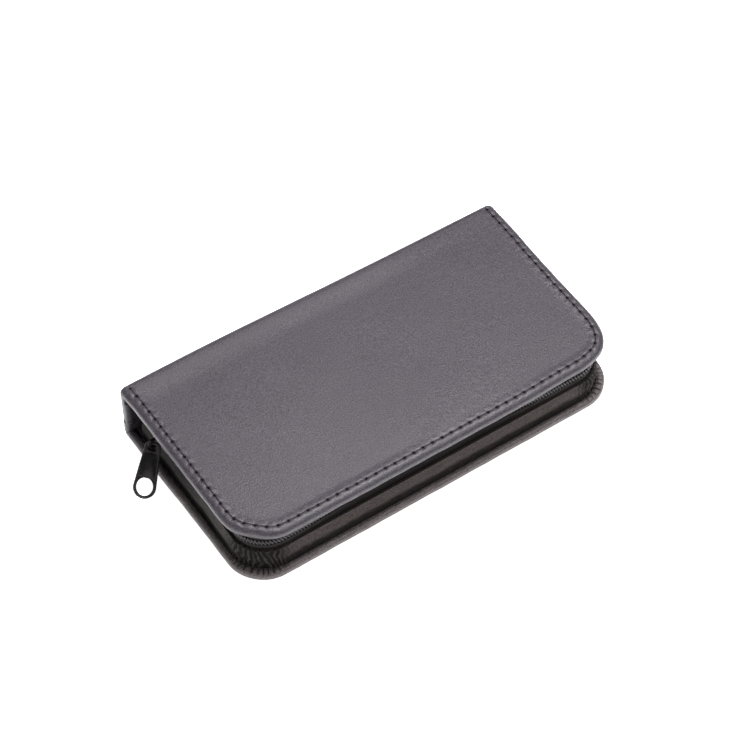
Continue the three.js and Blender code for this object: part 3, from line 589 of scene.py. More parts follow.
def fill_flat(surface, ring, height_at):
    """Triangles over the inside of a closed ring of (x, y) points, with a net of points in it."""
    low, high = ring.min(0), ring.max(0)
    xs, ys = (np.arange(low[a] + NET_STEP, high[a] - NET_STEP / 2, NET_STEP) for a in (0, 1))
    net = np.array([(x, y) for y in ys for x in xs])
    net = net[inside_ring(net, ring, NET_STEP / 2)]
    count = len(ring)
    edges = [(i, (i + 1) % count) for i in range(count)]
    flat = [Vector(p) for p in np.vstack([ring, net]).tolist()]
    made = delaunay_2d_cdt(flat, edges, [], 1, 1e-7)
    coords = np.array([tuple(p) for p in made[0]])
    surface.add(np.column_stack([coords, height_at(*coords.T)]), made[2])


def inside_ring(points, ring, margin):
    """True for points inside a convex ring and at least a margin away from its edges."""
    near, far = ring, np.roll(ring, -1, axis=0)
    along = far - near
    length = np.hypot(*along.T)
    keep = length > 1e-9
    near, along = near[keep], along[keep] / length[keep, None]
    x, y = near.T
    turn = np.sign(np.sum(x * np.roll(y, -1) - np.roll(x, -1) * y))
    result = np.ones(len(points), bool)
    for start, way in zip(near, along):
        across = way[0] * (points[:, 1] - start[1]) - way[1] * (points[:, 0] - start[0])
        result &= turn * across > margin
    return result


# Leather covers


def back_bow(x):
    """How far the padded spine bulges out along the case, fullest left of the middle."""
    return 0.0002 + 0.0010 * bump_at(x, -0.045, 0.050)


def swollen(points):
    """Points of a cover moved with the bulge of the padded spine and its flared left end."""
    x, y, z = points.T
    near_back = smooth_step(y, 0.028, BACK - 0.0010)
    upper = smooth_step(z, 0.5 * HEIGHT, HEIGHT - 0.002)
    on_left = smooth_step(-x, HALF_LENGTH - 0.010, HALF_LENGTH)
    result = points.copy()
    result[:, 1] += 0.85 * back_bow(x) * near_back
    result[:, 2] += 0.30 * back_bow(x) * near_back * upper
    flare = 0.0009 * on_left * smooth_step(y, -0.022, 0.034)
    result[:, 0] -= flare * (1 - 0.6 * upper * (1 - near_back))
    return result


def base_shape(points):
    """Points of the base, which lies flat on the table."""
    result = swollen(points)
    result[:, 2] = np.maximum(result[:, 2], 0.0)
    return result


def lid_shape(points):
    """Points of the lid, which also draws in a little along its right end."""
    result = swollen(points)
    x, y, _ = points.T
    on_right = smooth_step(x, HALF_LENGTH - 0.020, HALF_LENGTH - 0.004)
    result[:, 0] -= 0.0008 * on_right * smooth_step(-y, -0.030, 0.002)
    return result


def dents(x, y):
    """Soft shallow unevenness of the padded panel, in metres of depth."""
    broad = np.sin(x / 0.021 + 0.8) * np.sin(y / 0.016 + 0.4)
    broad = broad + 0.6 * np.sin(x / 0.013 - y / 0.019 + 2.0)
    hollow = 0.7 * bump_at(np.hypot((x - 0.012) / 0.9, y + 0.004), 0, 0.017)
    fine = 0.22 * np.sin(x / 0.0061 + 1.1) * np.sin(y / 0.0052 - 0.7)
    away_from_roll = smooth_step(PANEL_END - y, 0.0, 0.008)
    return away_from_roll * (0.00010 * (broad + fine + 1.9) + 0.00022 * hollow)


class Edge:
    """A turned edge as (inset, depth) rows, from the hem round the lip and the bead to the panel.

    lip is the radius on the hem's side, and width and drop are the bead's on the outer side."""

    def __init__(self, lip, width, drop):
        self.lip = lip
        quarter = np.linspace(0, math.pi / 2, ARC_STEPS)
        hem = [(inset, COVER) for inset in (HEM, 0.0062, 0.0050, 0.0044)]
        hem += [(inset, COVER) for inset in np.linspace(0.0041, lip, HEM_STEPS)[:-1]]
        turned = [(lip * (1 - math.sin(a)), COVER - lip * (1 - math.cos(a))) for a in quarter]
        side = [(0.0, (COVER - lip + drop) / 2)]
        bead = [(width * (1 - math.cos(a) ** 0.9), drop * (1 - math.sin(a) ** 0.9)) for a in quarter]
        top = [(inset, 0.0) for inset in np.arange(width + 0.0001, 0.0042, 0.0001)]
        inner = [(inset, 0.0) for inset in np.linspace(0.0044, BAND_DEPTH, 6)]
        self.rows = hem + turned + side + bead + top + inner
        self.hem_rows = len(hem) + ARC_STEPS


LID_EDGE = Edge(0.0005, 0.0026, 0.0018)
BASE_EDGE = Edge(0.0014, 0.0013, 0.0012)


def between_ends(end, middle):
    """Rows of the spine's left end, of the panel and of the spine's right end, its mirror image."""
    return np.vstack([end, middle, end[::-1] * [-1.0, 1.0, 1.0]])


class CoverPath:
    """Stations of a cover's edge: up the spine's left end, over the roll, round the panel and back.

    side is +1 for the lid, whose outer face looks up, and -1 for the base, whose face looks down."""

    def __init__(self, outline, split, side):
        step = STITCH_PITCH / STEPS_PER_STITCH
        self.side = side
        self.face = HEIGHT if side > 0 else 0.0
        self.panel = panel = Path(outline, STITCH_INSET, step)
        count = len(panel.s)
        roll_z = self.face - side * ROLL
        wall = np.arange(split, roll_z, side * 3 * step)
        turn = np.linspace(0, math.pi / 2, 14)[:-1]
        bend = np.concatenate([np.zeros_like(wall), turn])
        self.lead = len(bend)
        y = np.concatenate([np.full_like(wall, BACK), PANEL_END + ROLL * np.cos(turn)])
        z = np.concatenate([wall, roll_z + side * ROLL * np.sin(turn)])
        end = np.column_stack([np.full(self.lead, outline.points[0, 0]), y, z])
        end_depth = np.column_stack([np.zeros(self.lead), -np.cos(bend), -side * np.sin(bend)])
        edge = np.column_stack([panel.outline[:, :2], np.full(count, self.face)])
        self.points = between_ends(end, edge)
        self.depth = between_ends(end_depth, np.tile([0.0, 0.0, -side], (count, 1)))
        self.inward = between_ends(np.tile([1.0, 0.0, 0.0], (self.lead, 1)), panel.inward)
        roll = np.sin(2 * bend)
        self.on_roll = np.concatenate([roll, np.zeros(count), roll[::-1]])
        self.on_panel = np.pad(np.ones(count), self.lead)
        self.corner_share = np.pad(panel.corner_share, self.lead)
        self.s = np.pad(panel.s, self.lead)
        self.phase = self.s / STITCH_PITCH


def cover(name, path, edge, sewn_hem, shape):
    """The leather of one cover with its fold: turned edge, sewn bead, panel and half of the spine."""
    surface = Surface()
    to_end = np.minimum(path.s, path.panel.length - path.s)
    stitched = path.on_panel * smooth_step(to_end, -0.0010, 0.0002)
    to_stitch = np.abs(path.phase - np.round(path.phase)) * STITCH_PITCH
    hole = bump_at(to_stitch, 0, HOLE_HALF) * stitched
    pinch = np.cos(2 * math.pi * path.phase) * stitched
    uneven = waves(path.s, (0.031, 0.017, 0.0093), (0.3, 1.9, 4.0)) * path.on_panel
    grid, shades = [], []
    for number, (inset, depth) in enumerate(edge.rows):
        on_face = depth < 0.0001
        groove = bump_at(inset, STITCH_INSET, GROOVE_HALF) * on_face
        pit = bump_at(inset, STITCH_INSET, PIT_HALF) * hole * on_face
        bead = bump_at(inset, BEAD_INSET, BEAD_HALF) * (depth < 0.0008)
        shoulder = bump_at(inset, SHOULDER_INSET, BEAD_HALF) * on_face
        sink = groove * (0.00006 + stitched * 0.4 * STITCH_DIP) + 1.3 * STITCH_DIP * pit
        sink = sink + (0.00006 * bead + 0.00005 * shoulder) * pinch + 0.00006 * bead * uneven
        sink = sink + 0.00009 * bump_at(inset, STITCH_INSET, 0.0008) * on_face * stitched
        hidden = smooth_step(depth, 0.5 * COVER, COVER) * path.on_roll
        along = path.points + path.inward * (inset + 0.00008 * uneven * (inset < 0.004))[:, None]
        # Painted shade in the stitch groove and, darker, in the stitch holes
        dark = 0.5 * groove**2 * stitched + 1.25 * pit
        if number < edge.hem_rows and sewn_hem:
            sink = sink + hem_relief(path, edge, inset, depth)
            dark = dark + hem_shade(path, inset)
        soft = dents(*along.T[:2]) * smooth_step(inset, 0.0028, 0.0062) * path.on_panel * on_face
        total = (depth + sink + soft) * (1 - 0.42 * hidden)
        grid.append(along + path.depth * total[:, None])
        shades.append(np.clip(dark, 0, 1))
    grid = np.stack(grid)
    surface.grid(grid, np.stack(shades))
    fill_panel(surface, grid[-1], path)
    fill_spine(surface, grid[-1], path)
    # The base cover takes the leather copy with painted light away from the spine
    return surface.piece(name, rim_leather_painted_light if sewn_hem else leather, merge=2e-6, shape=shape)


def pleat_phase(path):
    """Counts the corner pleats along a path, with their spacing a little uneven."""
    return path.s / PLEAT_PITCH + 0.22 * np.sin(path.s / 0.0031) + 0.15 * np.sin(path.s / 0.0013)


def valleys(phase, sharpness):
    """0 on a pleat's crown and 1 in the sharp valley between two pleats."""
    return (1 - np.abs(np.sin(math.pi * phase))) ** sharpness


def ridges(phase, width):
    """1 on the thin crown of a pleat and 0 in the wide hollow between two pleats."""
    return bump_at(phase - np.round(phase), 0, width)


def hem_relief(path, edge, inset, depth):
    """How far the sewn hem side lies below its plane: a fold at the gusset and corner pleats."""
    # The fold's depth at the gusset; its painted shade is in hem_shade
    crease_and_painted_shade = -0.00030 * bump_at(inset, GUSSET_CREASE_INSET + 0.0002, 0.00045)
    crease_and_painted_shade = crease_and_painted_shade * (depth > COVER - 0.0001)
    on_hem = smooth_step(depth, COVER - edge.lip, COVER - 0.4 * edge.lip)
    deep = valleys(pleat_phase(path), 2.2) * smooth_step(inset, 0.0003, 0.0014)
    pleats = -0.00055 * deep * path.corner_share * (inset < 0.0045)
    slow = 0.00012 * waves(path.s, (0.023, 0.013, 0.0071), (1.0, 0.2, 2.6)) * path.on_panel
    fine = 0.00006 * np.sin(path.s / 0.0009 + 2.0 * np.sin(path.s / 0.004))
    fine = fine * (1 - path.corner_share)
    loose = (slow + fine * path.on_panel) * (inset < 0.006)
    return crease_and_painted_shade * path.on_panel + (pleats + loose) * on_hem


def hem_shade(path, inset):
    """How dark the painted shade is in the fold at the gusset and in the valleys between the pleats.
    """
    crease_and_painted_shade = bump_at(inset, GUSSET_CREASE_INSET + 0.0003, 0.0006)
    deep = valleys(pleat_phase(path), 2.4) * path.corner_share * smooth_step(inset, 0.0001, 0.0011)
    return (crease_and_painted_shade * (1 - 0.75 * path.corner_share) + 0.95 * deep) * path.on_panel


def closed_behind(row, y):
    """A row of points round three sides with a straight row at y that closes it."""
    back = np.tile(row[0], (SPINE_COLUMNS - 2, 1))
    back[:, 0] = np.linspace(row[-1, 0], row[0, 0], SPINE_COLUMNS)[1:-1]
    back[:, 1] = y
    return np.vstack([row, back])


def fill_panel(surface, inner, path):
    """The panel's middle, inside the band's inner row and a straight row at the roll."""
    ring = closed_behind(inner[path.lead : len(inner) - path.lead], PANEL_END)[:, :2]
    fill_flat(surface, ring, lambda x, y: path.face - path.side * dents(x, y))


def fill_spine(surface, inner, path):
    """The roll and the half of the spine between the two end bands."""
    left = inner[: path.lead + 1]
    right = inner[len(inner) - path.lead - 1 :][::-1]
    shares = np.linspace(0, 1, SPINE_COLUMNS)[None, :, None]
    surface.grid(left[:, None] * (1 - shares) + right[:, None] * shares)


def spine_cover():
    """The spine's leather between the two folds, with turned ends and a pinch near its foot."""
    z = np.linspace(SPLIT_LOW, SPLIT_HIGH, 40)
    above = z - SPLIT_LOW
    pinch = 0.00035 * bump_at(above, 0.0, 0.0007) + 0.00012 * bump_at(above, 0.0022, 0.0005)
    shade = bump_at(above, 0.0, 0.0004) + 0.5 * bump_at(above, 0.0022, 0.0003)
    shades = np.stack([shade * (inset < 0.003) for inset, _ in LID_EDGE.rows])
    surface = Surface()
    ends = []
    for sign in (-1, 1):
        columns = []
        for number, (inset, depth) in enumerate(LID_EDGE.rows):
            swell = 0.0006 * bump_at(inset, 0.0016, 0.0016) * (number < LID_EDGE.hem_rows)
            x = sign * (HALF_LENGTH - inset - pinch * (inset < 0.002))
            columns.append(np.column_stack([x, np.full_like(z, BACK - depth - swell), z]))
        surface.grid(np.stack(columns), shades)
        ends.append(columns[-1])
    shares = np.linspace(0, 1, SPINE_COLUMNS)[:, None, None]
    surface.grid(ends[0][None] * (1 - shares) + ends[1][None] * shares)
    return surface.piece("spine_cover", leather, shape=swollen)


# Gusset and zip


def front_share(path):
    """0 at the sides and corners and 1 in the middle of the front, along a path."""
    on_front = path.inward[:, 1] > 0.9
    return on_front * smooth_step(0.052 - np.abs(path.outline[:, 0] + 0.004), 0.0, 0.030)


def gusset_wall():
    """The leather wall with its sewn foot: a little crumpled in front, pleated at the corners."""
    path = Path(wall_outline, GUSSET_INSET, GUSSET_STEP)
    top, foot = GUSSET_TOP, COVER
    shares = np.linspace(0.0, 1.0, GUSSET_ROWS)
    corner = path.corner_share
    phase = pleat_phase(path)
    slow = waves(path.s, (0.037, 0.021, 0.0113), (0.9, 2.2, 4.4))
    crumple = 0.25 + 0.9 * (bump_at(path.outline[:, 0], -0.047, 0.012) * (path.inward[:, 1] > 0.5))

    def outer(share):
        height = foot + share * (top - foot)
        flare = 0.0012 * math.exp(-share / 0.07)
        belly = 0.00070 * math.sin(math.pi * share) ** 1.5
        slant = phase + 0.55 * share + 0.34 * np.sin(4.4 * share + path.s / 0.0024)
        slant = slant + 0.13 * np.sin(12.0 * share + path.s / 0.0013)
        strength = 0.72 + 0.28 * np.sin(2.3 * np.round(slant) + 3.0 * share)
        folds = ridges(slant, 0.18) * strength
        lean = (0.00012 - 0.00075 * folds * min(1.0, 0.4 + 1.5 * share)) * corner
        sway = 0.00022 * slow * math.sin(math.pi * min(1.0, share * 1.2))
        small = np.sin(path.s / 0.0011 + 5.0 * share + 1.5 * np.sin(path.s / 0.0033))
        small = small * np.sin(9.0 * share + path.s / 0.0049) * math.sin(math.pi * share)
        loose = (sway + 0.00016 * crumple * small) * (1 - corner)
        return GUSSET_INSET - flare - belly + lean + loose, height, folds, small

    section, shades = [], []
    for share in shares:
        inset, height, folds, small = outer(share)
        section.append((inset, height))
        # Painted shade: darker toward the foot, in the valleys between the corner pleats and near the
        # spine
        foot_shade = 1 - smooth_step(share + 0.05 * slow * (1 - corner), 0.20, 0.52)
        between = np.clip(1 - 1.4 * folds, 0, 1)
        patchy = 0.72 + 0.16 * small
        painted_shade_by_spine = 0.70 * smooth_step(path.outline[:, 1], -0.030, 0.012)
        dark = patchy * foot_shade * (1 - corner) + 0.92 * corner * between + painted_shade_by_spine
        shades.append(np.clip(dark, 0, 1))
    # The lip, the inner face and the foot follow: no painted shade on the lip, a little on the inner
    # face and the foot, and most in the fold under the foot
    edge = outer(1.0)[0]
    lip = GUSSET_SKIN / 2
    for angle in np.linspace(0.2, math.pi - 0.2, 6):
        height = top - lip * 0.2 + 0.2 * lip * math.sin(angle)
        section.append((edge + lip - lip * math.cos(angle), height))
        shades.append(0.0)
    for share in shares[::-3]:
        inset, height = outer(share)[:2]
        section.append((np.maximum(inset + GUSSET_SKIN, GUSSET_INSET + 0.5 * GUSSET_SKIN), height))
        shades.append(0.2)
    section += [(GUSSET_FOOT_END, foot + GUSSET_SKIN), (GUSSET_FOOT_END, foot)]
    section.append((GUSSET_CREASE_INSET, foot - 0.0001))
    shades += [0.2, 0.2, 0.9]
    surface = Surface()
    sweep(surface, path, section, shades)
    settle(surface.piece("gusset_wall", gusset_leather), "base", "leather", "base_gusset")


def tape(name, node, body, low, high, foot=None):
    """A woven zip tape: a thin standing strip, with a sewn foot where it has one."""
    path = Path(wall_outline, TAPE_INSET, TAPE_STEP)
    slow = 0.00010 * waves(path.s, (0.029, 0.015, 0.0061), (0.1, 3.0, 1.2))
    lean = CHAIN_LEAN * front_share(path)
    outer = []
    for k, z in enumerate(np.linspace(low, high, TAPE_ROWS)):
        if z < CHAIN_HEIGHT:
            share = smooth_step(z / CHAIN_HEIGHT, 0.68, 1.0)
        else:
            share = smooth_step((LID_INNER - z) / (LID_INNER - CHAIN_HEIGHT), 0.0, 1.0)
        sway = slow * math.sin(math.pi * k / (TAPE_ROWS - 1))
        outer.append((TAPE_INSET + lean * share + sway, z))
    inner = [(inset + TAPE, z) for inset, z in outer[::-1]]
    if foot:
        inner = [(inset, min(z, high - foot)) for inset, z in inner]
        inner = [(GUSSET_FOOT_END, high), (GUSSET_FOOT_END, high - foot)] + inner
    surface = Surface()
    sweep(surface, path, outer + inner)
    settle(surface.piece(name, tape_cloth), body, "tape", node)


def tube(surface, points, radius, radial):
    """A tube along points. radial is a way across it at each point."""
    tangent = unit(np.gradient(points, axis=0))
    first = unit(radial - np.sum(radial * tangent, axis=1)[:, None] * tangent)
    second = np.cross(tangent, first)
    radius = np.reshape(radius, (-1, 1))
    angles = [2 * math.pi * side / TUBE_SIDES for side in range(TUBE_SIDES)]
    rings = [points + radius * (math.cos(a) * first + math.sin(a) * second) for a in angles]
    surface.pipe(np.stack(rings))


def coil(name, node, body, middle, turn_shift):
    """One nylon coil row: a wire helix whose loops stand between those of the other row."""
    start = coil_right_end - coil_left_end
    path = Path(coil_outline, CHAIN_INSET, COIL_PITCH / COIL_STEPS, start)
    angle = 2 * math.pi * (path.s / COIL_PITCH + turn_shift)
    across, up = path.inward, np.array([0.0, 0.0, 1.0])
    aside, rise = COIL_LOOP[0] * np.cos(angle), COIL_LOOP[1] * np.sin(angle)
    reach = aside[:, None] * across + rise[:, None] * up
    points = path.outline + (CHAIN_INSET + CHAIN_LEAN * front_share(path))[:, None] * across + reach
    points[:, 2] += middle
    surface = Surface()
    tube(surface, points, COIL_WIRE, reach)
    settle(surface.piece(name, coil_nylon, merge=0), body, "coil", node)


# Stitches


def stitches(name, node, body, outline, inset, height, sag, material, shape=None):
    """Separate stitches round three sides. height is the thread's middle, sag its ends' dive."""
    path = Path(outline, inset, STITCH_PITCH / THREAD_STEPS)
    seam = path.outline + inset * path.inward
    shares = np.linspace(-1, 1, THREAD_RINGS)
    half = (STITCH_PITCH - STITCH_GAP) / 2
    thickness = THREAD_RADIUS * (1 - 0.25 * np.abs(shares) ** 2)
    surface = Surface()
    for number in range(int(path.length / STITCH_PITCH)):
        line = points_at((number + 0.5) * STITCH_PITCH + shares * half, path.s, seam)
        line[:, 2] = height - sag * np.abs(shares) ** 3.5
        tube(surface, line, thickness, np.cross(np.gradient(line, axis=0), [0.0, 0.0, 1.0]))
    settle(surface.piece(name, material, merge=0, shape=shape), body, "thread", node)


# Puller


def arc_points(centre, radius, start, end, count):
    angles = np.linspace(start, end, count)
    radius = np.broadcast_to(radius, 2)
    return [(centre[0] + radius[0] * math.cos(a), centre[1] + radius[1] * math.sin(a)) for a in angles]


def plate(name, outlines, thickness, bevel, material, lift=0.0):
    """A flat plate with holes and rounded edges, from closed outlines in its own plane."""
    curve = bpy.data.curves.new(name, "CURVE")
    curve.dimensions = "2D"
    curve.fill_mode = "BOTH"
    curve.extrude = thickness / 2 - bevel
    curve.bevel_depth = bevel
    curve.bevel_resolution = 3
    curve.offset = -bevel
    for outline in outlines:
        spline = curve.splines.new("POLY")
        spline.points.add(len(outline) - 1)
        for point, (x, y) in zip(spline.points, outline):
            point.co = (x, y, lift, 1)
        spline.use_cyclic_u = True
    holder = in_scene(name + "_curve", curve)
    bpy.context.view_layer.update()
    filled = holder.evaluated_get(bpy.context.evaluated_depsgraph_get())
    data = bpy.data.meshes.new_from_object(filled)
    bpy.data.objects.remove(holder)
    data.name = name
    weld(data, 1e-6)
    data.transform(puller_frame())
    dress(data, material)
    made = in_scene(name, data)
    edge = made.modifiers.new("edges", "EDGE_SPLIT")
    edge.split_angle = math.radians(50)
    return made


def puller_frame():
    """Where the hanging plate is: its own X runs to the front, its Y up it and its Z outwards."""
    low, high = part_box("zip_slider")
    middle_y = (low.y + high.y) / 2
    pivot = Vector((low.x + PULLER_PIVOT, middle_y, CHAIN_HEIGHT))
    hanging = Matrix(((0, 0, -1), (-1, 0, 0), (0, 1, 0))).to_4x4()
    lean = Matrix.Rotation(-PULLER_LEAN, 4, "X")
    swing = Matrix.Rotation(PULLER_SWING, 4, "Y")
    twist = Matrix.Rotation(PULLER_TWIST, 4, "Y")
    return Matrix.Translation(pivot) @ swing @ lean @ hanging @ twist


def puller():
    """The hanging plate with its ring and eye, and the thin raised rim on its outer face in a lighter
    lacquer, a painted highlight.
    """
    ring, top = PULLER_RING / 2, PULLER_TOP / 2
    middle = ring - PULLER_REACH
    shoulder, round_up = PULLER_SHOULDER
    eye_half, eye_length = PULLER_EYE
    eye_top = -PULLER_BAR / 2
    eye_low = eye_top - eye_length
    taper = math.asin((ring - top) / (-shoulder - middle))

    def tapered(shrink):
        """The plate's outline, smaller by shrink: the ring's circle, straight sides, a rounded top."""
        outline = arc_points((0, middle), ring - shrink, math.pi - taper, 2 * math.pi + taper, 37)
        return outline + arc_points((0, -shoulder), (top - shrink, round_up - shrink), 0, math.pi, 17)

    def half_at(y):
        return top - (y + shoulder) * math.tan(taper)

    hole = arc_points((0, middle + 0.0002), PULLER_HOLE, 0, 2 * math.pi, 41)[-2::-1]
    eye = arc_points((0, eye_top - 0.0006), (eye_half, 0.0006), math.pi, 0, 9)
    eye += arc_points((0, eye_low + 0.0012), (eye_half, 0.0012), 0, -math.pi, 13)
    body = plate("puller_plate", [tapered(0.0), hole, eye], PULLER_METAL, PULLER_ROUNDING, lacquer)
    settle(body, "puller", "black_metal", "zip_puller")
    low, high = middle + ring + 0.0004, eye_low - 0.0008
    inner = arc_points((0, low), (0.9 * half_at(low) - PULLER_RIM, 0.0010), math.pi, 2 * math.pi, 15)
    inner += arc_points((0, high), (half_at(high) - PULLER_RIM, 0.0006), 0, math.pi, 13)
    outlines = [tapered(RIM_ROUNDING), hole, inner[::-1], eye]
    rim = plate("puller_rim", outlines, RIM_METAL, RIM_ROUNDING, lacquer_painted_highlight, RIM_LIFT)
    settle(rim, "puller", "black_metal")


# Inside of the case


def soft_slab(name, low, high, radius, material):
    """A rounded slab between two corners, made of six welded nets."""
    low, high = np.asarray(low, float), np.asarray(high, float)
    size = high - low
    counts = np.maximum(4, np.round(size / LINING_STEP).astype(int))
    surface = Surface()
    for axis in range(3):
        others = [a for a in range(3) if a != axis]
        steps = [edge_spaced(size[a], counts[a], radius) for a in others]
        for end in (0.0, size[axis]):
            points = np.full((len(steps[0]), len(steps[1]), 3), end)
            points[..., others] = np.stack(np.meshgrid(*steps, indexing="ij"), axis=-1)
            surface.grid(points)
    points = np.vstack(surface.points)
    core = np.clip(points, radius, size - radius)
    away = points - core
    reach = np.linalg.norm(away, axis=1)
    reach[reach == 0] = 1
    surface.points = [core + away / reach[:, None] * np.minimum(reach, radius)[:, None] + low]
    return surface.piece(name, material)


def edge_spaced(length, count, radius):
    """Even steps along a length with finer ones where its ends are rounded."""
    fine = radius * np.array([0.0, 0.08, 0.29, 0.62])
    middle = np.linspace(radius, length - radius, count)
    return np.concatenate([fine, middle, length - fine[::-1]])


def cover_lining(name, node, body, corner_size, level, inward):
    """The padded lining inside a cover: a flat cushion with its edge rolled down."""
    inset = HEM + CLEARANCE
    path = Path(Outline((corner_size, 0.0, 0.0), PANEL_BACK), inset, LINING_STEP)
    depths = np.array([0.0, 0.0004, 0.0008, 0.0012, 0.0020, 0.0032])
    rises = np.array([-0.0009, -0.00035, -0.00012, 0.0, 0.0001, 0.00015])
    rows = []
    for depth, rise in zip(depths, rises):
        row = path.at(inset + depth, level + inward * rise)
        row[:, 1] = np.minimum(row[:, 1], PANEL_BACK - depth)
        rows.append(closed_behind(row, PANEL_BACK - depth))
    surface = Surface()
    surface.grid(np.stack(rows), close_columns=True)
    top, ring = level + inward * rises[-1], rows[-1][:, :2]

    def quilted(x, y):
        wave = inward * 0.00008 * np.sin(x / 0.011 + 0.5) * np.sin(y / 0.009)
        return top + wave * inside_share(x, y, ring)

    fill_flat(surface, ring, quilted)
    settle(surface.piece(name, lining_cloth), body, "lining", node)


def inside_share(x, y, ring):
    """0 at the edges of a ring's box and at its corners, and 1 a little way inside them."""
    low, high = ring.min(0), ring.max(0)
    gap = np.minimum(np.minimum(x - low[0], high[0] - x), np.minimum(y - low[1], high[1] - y))
    corner_gap = HALF_LENGTH - HEM - 0.006 - np.abs(x)
    return smooth_step(np.minimum(gap, corner_gap + 0.004), 0.0, 0.004)


def hinge_lining(name, level, side):
    """The lining across a fold, made folded up small as it lies while the case is shut."""
    radius, reach, skin = 0.0005, 0.0022, 0.0003
    turn = np.linspace(0, math.pi / 2, 13)
    flat = [[-reach, 0.0], [-reach / 2, 0.0]]
    arc = np.column_stack([radius * np.sin(turn), radius * (1 - np.cos(turn))])
    upright = [[radius, radius + 0.001], [radius, radius + reach]]
    line = np.vstack([flat, arc, upright])
    bend = np.pad(turn, 2, "edge")
    normal = np.column_stack([-np.sin(bend), np.cos(bend)])
    loop = np.vstack([line, (line + skin * normal)[::-1]])
    points = np.zeros((len(loop), HINGE_COLUMNS, 3))
    points[..., 0] = (HALF_LENGTH - HEM) * np.linspace(-1, 1, HINGE_COLUMNS)
    points[..., 1] = (hinge_y + loop[:, 0])[:, None]
    points[..., 2] = (level - side * loop[:, 1])[:, None]
    surface = Surface()
    surface.pipe(points)
    made = surface.piece(name, lining_cloth)
    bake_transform(made)


def elastic(name, body, level, inward, tools):
    """An elastic strap over one or more tools, each given by the box of its node."""
    low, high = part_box(name)
    x_middle, half_width = (low.x + high.x) / 2, (high.x - low.x) / 2
    line = [(low.y, STRAP / 2)]
    for node in sorted(tools, key=lambda n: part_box(n)[0].y):
        line += arch_over(node, level, inward, x_middle, half_width)
    line.append((high.y, STRAP / 2))
    line = dense(line, STRAP_STEP)
    step = unit(np.gradient(line, axis=0))
    normal = np.column_stack([-step[:, 1], step[:, 0]])
    across = np.linspace(-1, 1, STRAP_RIBS * 4 + 1)
    ripple = 0.00006 * np.cos(STRAP_RIBS * math.pi * (across + 1))
    edge = 1 - np.abs(across) ** 12 * 0.6
    sheets = []
    for face in (1, -1):
        offset = face * (STRAP / 2 * edge + ripple * (face > 0))
        points = np.zeros((len(line), len(across), 3))
        points[..., 0] = x_middle + half_width * across[None, :]
        points[..., 1] = line[:, 0, None] + normal[:, 0, None] * offset[None, :]
        height = line[:, 1, None] + normal[:, 1, None] * offset[None, :]
        points[..., 2] = level + inward * np.maximum(height, 0.0)
        sheets.append(points)
    surface = Surface()
    loop = np.concatenate([sheets[0], sheets[1][:, ::-1]], axis=1)
    surface.grid(loop, close_columns=True)
    for row in (0, -1):
        surface.add(loop[row], [tuple(range(loop.shape[1]))])
    settle(surface.piece(name + "_band", elastic_cloth), body, "elastic", name)


def arch_over(node, level, inward, x, half_width):
    """A rounded arch over what a node is at a strap, as (y, height) points."""
    low_y, high_y, top = section_of(node, x, half_width, level, inward)
    middle, height = (low_y + high_y) / 2, top + CLEARANCE + STRAP / 2
    reach = (high_y - low_y) / 2 + CLEARANCE + STRAP / 2 + 0.0004
    # Below 1, the power squares the arch's shoulders
    power = 2 / 5
    arch = []
    for angle in np.linspace(math.pi, 0, 25):
        c, s = math.cos(angle), math.sin(angle)
        y = middle + reach * math.copysign(abs(c) ** power, c)
        arch.append((y, STRAP / 2 + (height - STRAP / 2) * abs(s) ** power))
    return arch


def section_of(node, x, half_width, level, inward):
    """Lowest and highest Y and the height of a node's edges where a strap crosses it."""
    data = nodes[node].data
    found = []
    for edge in data.edges:
        a, b = (np.array(data.vertices[i].co) for i in edge.vertices)
        low, high = x - half_width, x + half_width
        if max(a[0], b[0]) < low or min(a[0], b[0]) > high:
            continue
        span = b[0] - a[0]
        for bound in (low, high):
            share = 0.0 if abs(span) < 1e-9 else min(1.0, max(0.0, (bound - a[0]) / span))
            found.append(a + share * (b - a))
    found = np.array(found)
    heights = inward * (found[:, 2] - level)
    return found[:, 1].min(), found[:, 1].max(), heights.max()


def dense(line, step):
    """A polyline with points at even short steps."""
    line = np.array(line)
    lengths = run_length(line)
    count = max(2, int(lengths[-1] / step))
    return points_at(np.linspace(0, lengths[-1], count), lengths, line)


# Pieces that stay as the CAD model has them


def finish_node(name, material, bevel, segments):
    """Gives a CAD node its material and small rounded edges."""
    obj = nodes[name]
    dress(obj.data, material)
    edges = obj.modifiers.new("edges", "BEVEL")
    edges.width = bevel
    edges.segments = segments
    edges.limit_method = "ANGLE"
    edges.angle_limit = math.radians(32)
    smooth = obj.modifiers.new("normals", "WEIGHTED_NORMAL")
    smooth.keep_sharp = True


# Stage


def area_light(name, place, size, power):
    data = bpy.data.lights.new(name, "AREA")
    data.shape = "RECTANGLE"
    data.size, data.size_y = size
    data.energy = power
    aimed(name, data, place, Vector(LIT_POINT) - Vector(place))


def floor():
    look = Look("white_floor", specular=0.1)
    white = look.mix(look.noise(0.05, 2.0), rgb("fbfbfb"), rgb("ffffff"))
    look.set(Base_Color=white, Roughness=0.9, Emission_Color=white, Emission_Strength=FLOOR_GLOW)
    surface = Surface()
    x, y = np.meshgrid(*[np.linspace(-FLOOR_REACH, FLOOR_REACH, 9)] * 2)
    surface.grid(np.stack([x, y, np.full_like(x, -FLOOR_DROP)], axis=-1))
    surface.piece("floor", look.material)


def camera():
    data = bpy.data.cameras.new("camera")
    data.sensor_width = 36.0
    data.lens = FOCAL_PIXELS * data.sensor_width / PHOTO_PIXELS
    data.clip_start = 0.01
    data.clip_end = 10.0
    bpy.context.scene.camera = aimed("camera", data, CAMERA_PLACE, CAMERA_WAY)


